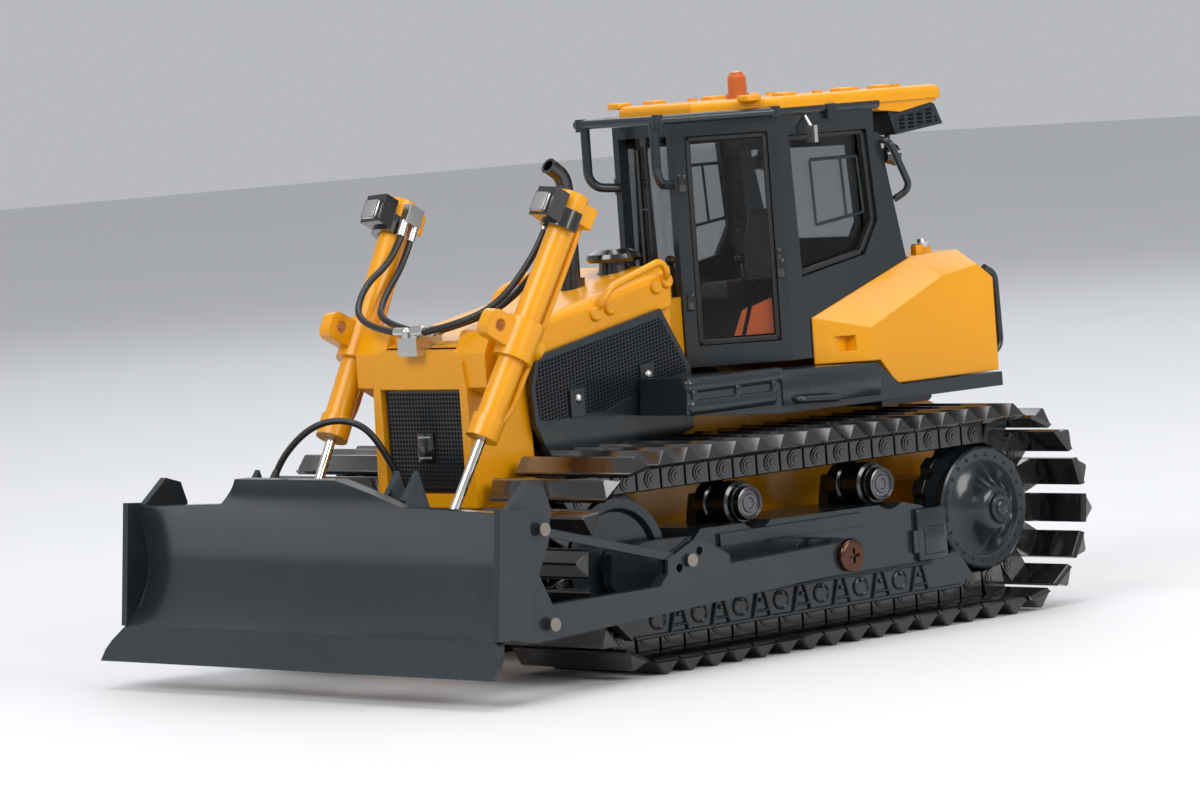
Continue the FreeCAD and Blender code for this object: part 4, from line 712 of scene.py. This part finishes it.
# The hood's handrail feet. Cast bosses with a screw recess, in the same yellow
# enamel as the hood they stand on.
HOOD_SIDE = 10.1
foot_steps = beyond(HOOD_SIDE, [(0, 1.0), (0.4, 0.95), (0.6, 0.75), (0.5, 0.4)])
foot_places = ((-10.0, 45.3), (-7.4, 45.9), (1.0, 48.0), (3.0, 48.6))
rail_feet = [turned(foot_steps, y, z, 20) for y, z in foot_places]
pair(rail_feet, "handrail_feet", yellow)

# The platform's sill. Two round-edged cast rolls lie along its front half, with
# three clamps over them and a kick plate behind, all in slate enamel.
SILL_IN = 19.4
rolls = [block(SILL_IN, 21.35, -4.7, 13.0, 34.0, 36.15, 0.8, 4),
         block(SILL_IN, 21.45, -4.6, 11.5, 31.2, 33.4, 0.8, 4)]
kick_plate = plate(20.8, 21.25, [(12.4, 31.0), (30.6, 30.8), (31.2, 34.4), (12.4, 34.9)], 0.15)
clamps = [block(SILL_IN + 0.2, 21.4, y - 0.5, y + 0.5, 32.8, 34.6, 0.3) for y in (-3.4, 4.4, 11.0)]
pair(rolls + [kick_plate] + clamps, "platform_sill", slate)

# The cab's window seals. Black rubber set into the door's opening and the rear side
# window's, round the clear panes.
rubber = painted("hose_rubber", coat=(0.010, 0.010, 0.011), drift=(0.016, 0.016, 0.017), dust=0.1,
                 rough=(0.35, 0.5), peel=0.2, edge=0.05, coat_weight=0.1)
CAB_HALF = -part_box("cab_shell")[0].x / MM
DOOR_START = Vector((5.9, 9.7, 0))
DOOR_END = Vector((CAB_HALF, 20.6, 0))
SEAL_BACK = -1.5
SEAL_FRONT = -0.45


def ring(outline, x1, x2, width):
    """Flat bars along each side of an outline, meeting at its corners."""
    return [bar(y1, z1, y2, z2, x1, x2, width)
            for (y1, z1), (y2, z2) in zip(outline, outline[1:] + outline[:1])]


def on_door(parts):
    """Parts laid out with Y along the door and X outwards, moved to the slanted door plane."""
    along = (DOOR_END - DOOR_START).normalized()
    out = along.cross(Vector((0, 0, 1)))
    turn = Matrix(((out.x, along.x, 0, 0), (out.y, along.y, 0, 0), (0, 0, 1, 0), (0, 0, 0, 1)))
    for part in parts:
        part.data.transform(Matrix.Translation(DOOR_START * MM) @ turn)
    return parts


door_opening = [(2.1, 39.6), (12.5, 39.6), (12.5, 67.0), (2.1, 67.0)]
window_opening = [(23.5, 47.9), (35.1, 49.95), (37.8, 54.1), (36.85, 66.25), (22.75, 66.25)]
door_seal = on_door(ring(door_opening, SEAL_BACK, SEAL_FRONT, 0.75))
window_seal = ring(window_opening, CAB_HALF + SEAL_BACK, CAB_HALF + SEAL_FRONT, 0.7)
pair(door_seal + window_seal, "window_seals", rubber)

# The sliding pane's frame. Thin slate bars round the pane and down it, set inside
# the rear side window's opening.
pane_back = CAB_HALF + SEAL_BACK
slider = ring([(27.8, 54.2), (36.9, 55.3), (36.3, 63.0), (27.4, 63.0)], pane_back, pane_back + 0.3, 0.45)
slider.append(bar(33.6, 54.8, 33.1, 63.0, pane_back, pane_back + 0.35, 0.4))
pair(slider, "sliding_pane_frame", slate)

# The door's fittings. A black lever on its rear edge and two black hinges on the
# front one, moulded with their screws.
lever = [block(-0.35, 0.35, 12.9, 13.9, 47.6, 50.2, 0.2), block(-0.1, 0.5, 13.0, 13.6, 50.0, 51.6, 0.2)]
hinges = [block(-0.2, 0.3, 0.5, 1.5, low, low + 2.4, 0.2) for low in (44.0, 60.0)]
pair(on_door(lever + hinges), "door_fittings", black)

# The orange wedge. A print in two parts at the foot of the door's glass, with
# nothing written on it.
orange = painted("orange_print", coat=(0.78, 0.16, 0.02), drift=(0.70, 0.14, 0.02), dust=0.0,
                 rough=(0.3, 0.4), peel=0.02, edge=0.02, coat_weight=0.2)
wedge_outlines = ([(6.6, 40.2), (7.6, 40.2), (8.7, 43.9), (7.9, 43.5)],
                  [(8.2, 40.2), (12.0, 40.2), (12.0, 45.0), (9.3, 44.0)])
wedges = [plate(SEAL_BACK - 0.06, SEAL_BACK - 0.02, outline) for outline in wedge_outlines]
pair(on_door(wedges), "door_wedge", orange, 30)

# The cooling unit's louvres. Five columns of short slots in a slate plate, one
# plate on each side of the unit. The slots are coloured near-black as painted shade.
SLOTS = (1.75, 0.55)
unit_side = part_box("ac_unit")[1].x / MM
louvre = punched("louvre_plate", (0, 1 / SLOTS[0], 0), (0, 0, 1 / SLOTS[1]))
louvre_outline = [(43.5, 65.8), (51.7, 66.8), (50.7, 68.7), (43.6, 67.7)]
louvre_plate = plate(unit_side - 0.02, unit_side + 0.06, louvre_outline)
pair([louvre_plate], "cooling_louvres", louvre, 30)

# The roof's pads. Shallow yellow rectangles along the roof's side edges, cast
# with it.
PAD_IN = 11.8
PAD_OUT = 14.2
PAD_LENGTH = 2.6
roof_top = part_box("cab_roof")[1].z / MM
pads = [block(PAD_IN, PAD_OUT, y, y + PAD_LENGTH, roof_top - 0.8, roof_top + 0.1, 0.3)
        for y in (16.5, 23.0, 34.0, 41.0)]
pair(pads, "roof_pads", yellow)

# The work lamps' lenses. Bright blocks with rounded edges, set in the front of the
# black lamps on the barrels' heads.
slide = Vector(joints["rod_slide_left"]["axis"])
SWING = Vector(joints["barrel_swing_left"]["pos_m"]) / MM
SPLAY = math.asin(slide.x)
LEAN = math.atan2(slide.y, slide.z)
HEAD = 20.6
LENS_HALF = 1.35
barrel_turn = Matrix.Rotation(-LEAN, 4, "X") @ Matrix.Rotation(SPLAY, 4, "Y")
barrel_place = Matrix.Translation(SWING * MM) @ barrel_turn
lens_block = block(-LENS_HALF, LENS_HALF, -5.06, -4.35, HEAD - 4.3, HEAD - 1.5, 0.3)
lens_block.data.transform(barrel_place)
lens = settled([lens_block], "lamp_lens_left", silver, "barrel_left")
mirrored(lens, "lamp_lens_right", "barrel_right")

# The driver's seat. Two grey foam cushions, rounded by subdivision, on a black
# pedestal fixed to the cab's floor.
grey = painted("seat_grey", coat=(0.13, 0.13, 0.135), drift=(0.10, 0.10, 0.105), dust=0.1,
               rough=(0.5, 0.65), peel=0.3, edge=0.4, coat_weight=0.0)
seat_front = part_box("seat")[0].y / MM


def cushion(name, x1, x2, y1, y2, z1, z2, turn=0):
    """A stuffed block between two corners, leaning back by turn degrees."""
    piece = block(x1, x2, y1, y2, z1, z2, 0.8, 3)
    centre = Vector(((x1 + x2) / 2, (y1 + y2) / 2, (z1 + z2) / 2)) * MM
    lean = Matrix.Rotation(math.radians(turn), 4, "X")
    piece.data.transform(Matrix.Translation(centre) @ lean @ Matrix.Translation(-centre))
    soft = piece.modifiers.new("soft", "SUBSURF")
    soft.levels = 2
    soft.render_levels = 2
    alone(piece)
    bpy.ops.object.modifier_apply(modifier="soft")
    piece = settled([piece], name, grey, "chassis", 60)
    return piece


seat_cushion = cushion("seat_cushion", -3.3, 3.3, seat_front + 0.2, 30.6, 44.6, 47.2)
cushion("seat_back", -3.1, 3.1, 29.7, 31.9, 46.4, 56.6, turn=-12)
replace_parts(seat_cushion, "seat")
pedestal = block(-2.0, 2.0, 24.2, 29.8, 38.0, 44.7, 0.4)
settled([pedestal], "seat_pedestal", black, "chassis")

# The lift hoses. Thin black rubber, two to each barrel, from the elbows on the
# barrel's head down to the manifold on the nose.
HOSE_WIDTH = 0.9


def smooth_line(name, points):
    """A NURBS curve with the points, in millimetres, as its control points."""
    data = bpy.data.curves.new(name, "CURVE")
    data.dimensions = "3D"
    line = data.splines.new("NURBS")
    line.points.add(len(points) - 1)
    for spot, point in zip(line.points, points):
        spot.co = (*(Vector(point) * MM), 1)
    line.order_u = 3
    line.use_endpoint_u = True
    line.resolution_u = 12
    curve = bpy.data.objects.new(name, data)
    scene.collection.objects.link(curve)
    return curve


def hose(name, points):
    """A rubber hose along a smooth line through the points. Returns it with its middle line."""
    curve = smooth_line(name, points)
    path = [vertex.co.copy() for vertex in bpy.data.meshes.new_from_object(curve).vertices]
    curve.data.bevel_depth = HOSE_WIDTH / 2 * MM
    curve.data.bevel_resolution = 4
    curve.data.use_fill_caps = True
    alone(curve)
    bpy.ops.object.convert(target="MESH")
    tube = bpy.context.object
    tube.name = name
    tube.data.name = name
    bpy.ops.object.shade_smooth_by_angle(angle=math.radians(50))
    tube.data.materials.clear()
    tube.data.materials.append(rubber)
    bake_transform(tube)
    return tube, path


def on_barrel(point, side):
    """A point of the barrel's own frame, +Z along it from its pivot, in the machine's frame."""
    spot = barrel_place @ (Vector(point) * MM) / MM
    return Vector((side * spot.x, spot.y, spot.z))


ROUTES = {
    ("left", "front"): [(12.2, -28.2, 48.0), (8.6, -32.6, 45.8)],
    ("left", "rear"): [(11.6, -26.4, 47.8), (8.0, -29.8, 46.0)],
    ("right", "front"): [(-13.6, -29.6, 50.8), (-10.8, -33.6, 46.0)],
    ("right", "rear"): [(-12.6, -27.2, 48.8), (-9.4, -30.6, 46.2)],
}
ELBOW_SIDE = -2.5
ELBOW = {"front": -0.6, "rear": 1.2}
ELBOW_DROPS = (5.25, 8.6)
MANIFOLD_HALF = 2.95
MANIFOLD_TOP = 45.0
MANIFOLD = {"front": -33.2, "rear": -30.4}
for (name, which), middles in ROUTES.items():
    side = 1 if name == "left" else -1
    top = [on_barrel((ELBOW_SIDE, ELBOW[which], HEAD - drop), side) for drop in ELBOW_DROPS]
    end = (side * MANIFOLD_HALF, MANIFOLD[which], MANIFOLD_TOP)
    line_name = "lift_line_%s_%s" % (name, which)
    lift_line = hose(line_name, [*top, *middles, end])[0]
    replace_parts(lift_line, "lift_hose_%s_%s" % (name, which))

# The blade's hose. One black rubber line that arches from the nose over to the
# blade's back.
arch = [(-17.4, -45.6, 20.6), (-17.2, -45.0, 27.0), (-11.8, -41.8, 33.9), (-6.0, -38.2, 34.2),
        (-3.2, -36.0, 29.5), (-3.0, -33.2, 23.4)]
blade_line, arch_path = hose("blade_line", arch)
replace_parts(blade_line, "blade_hose")
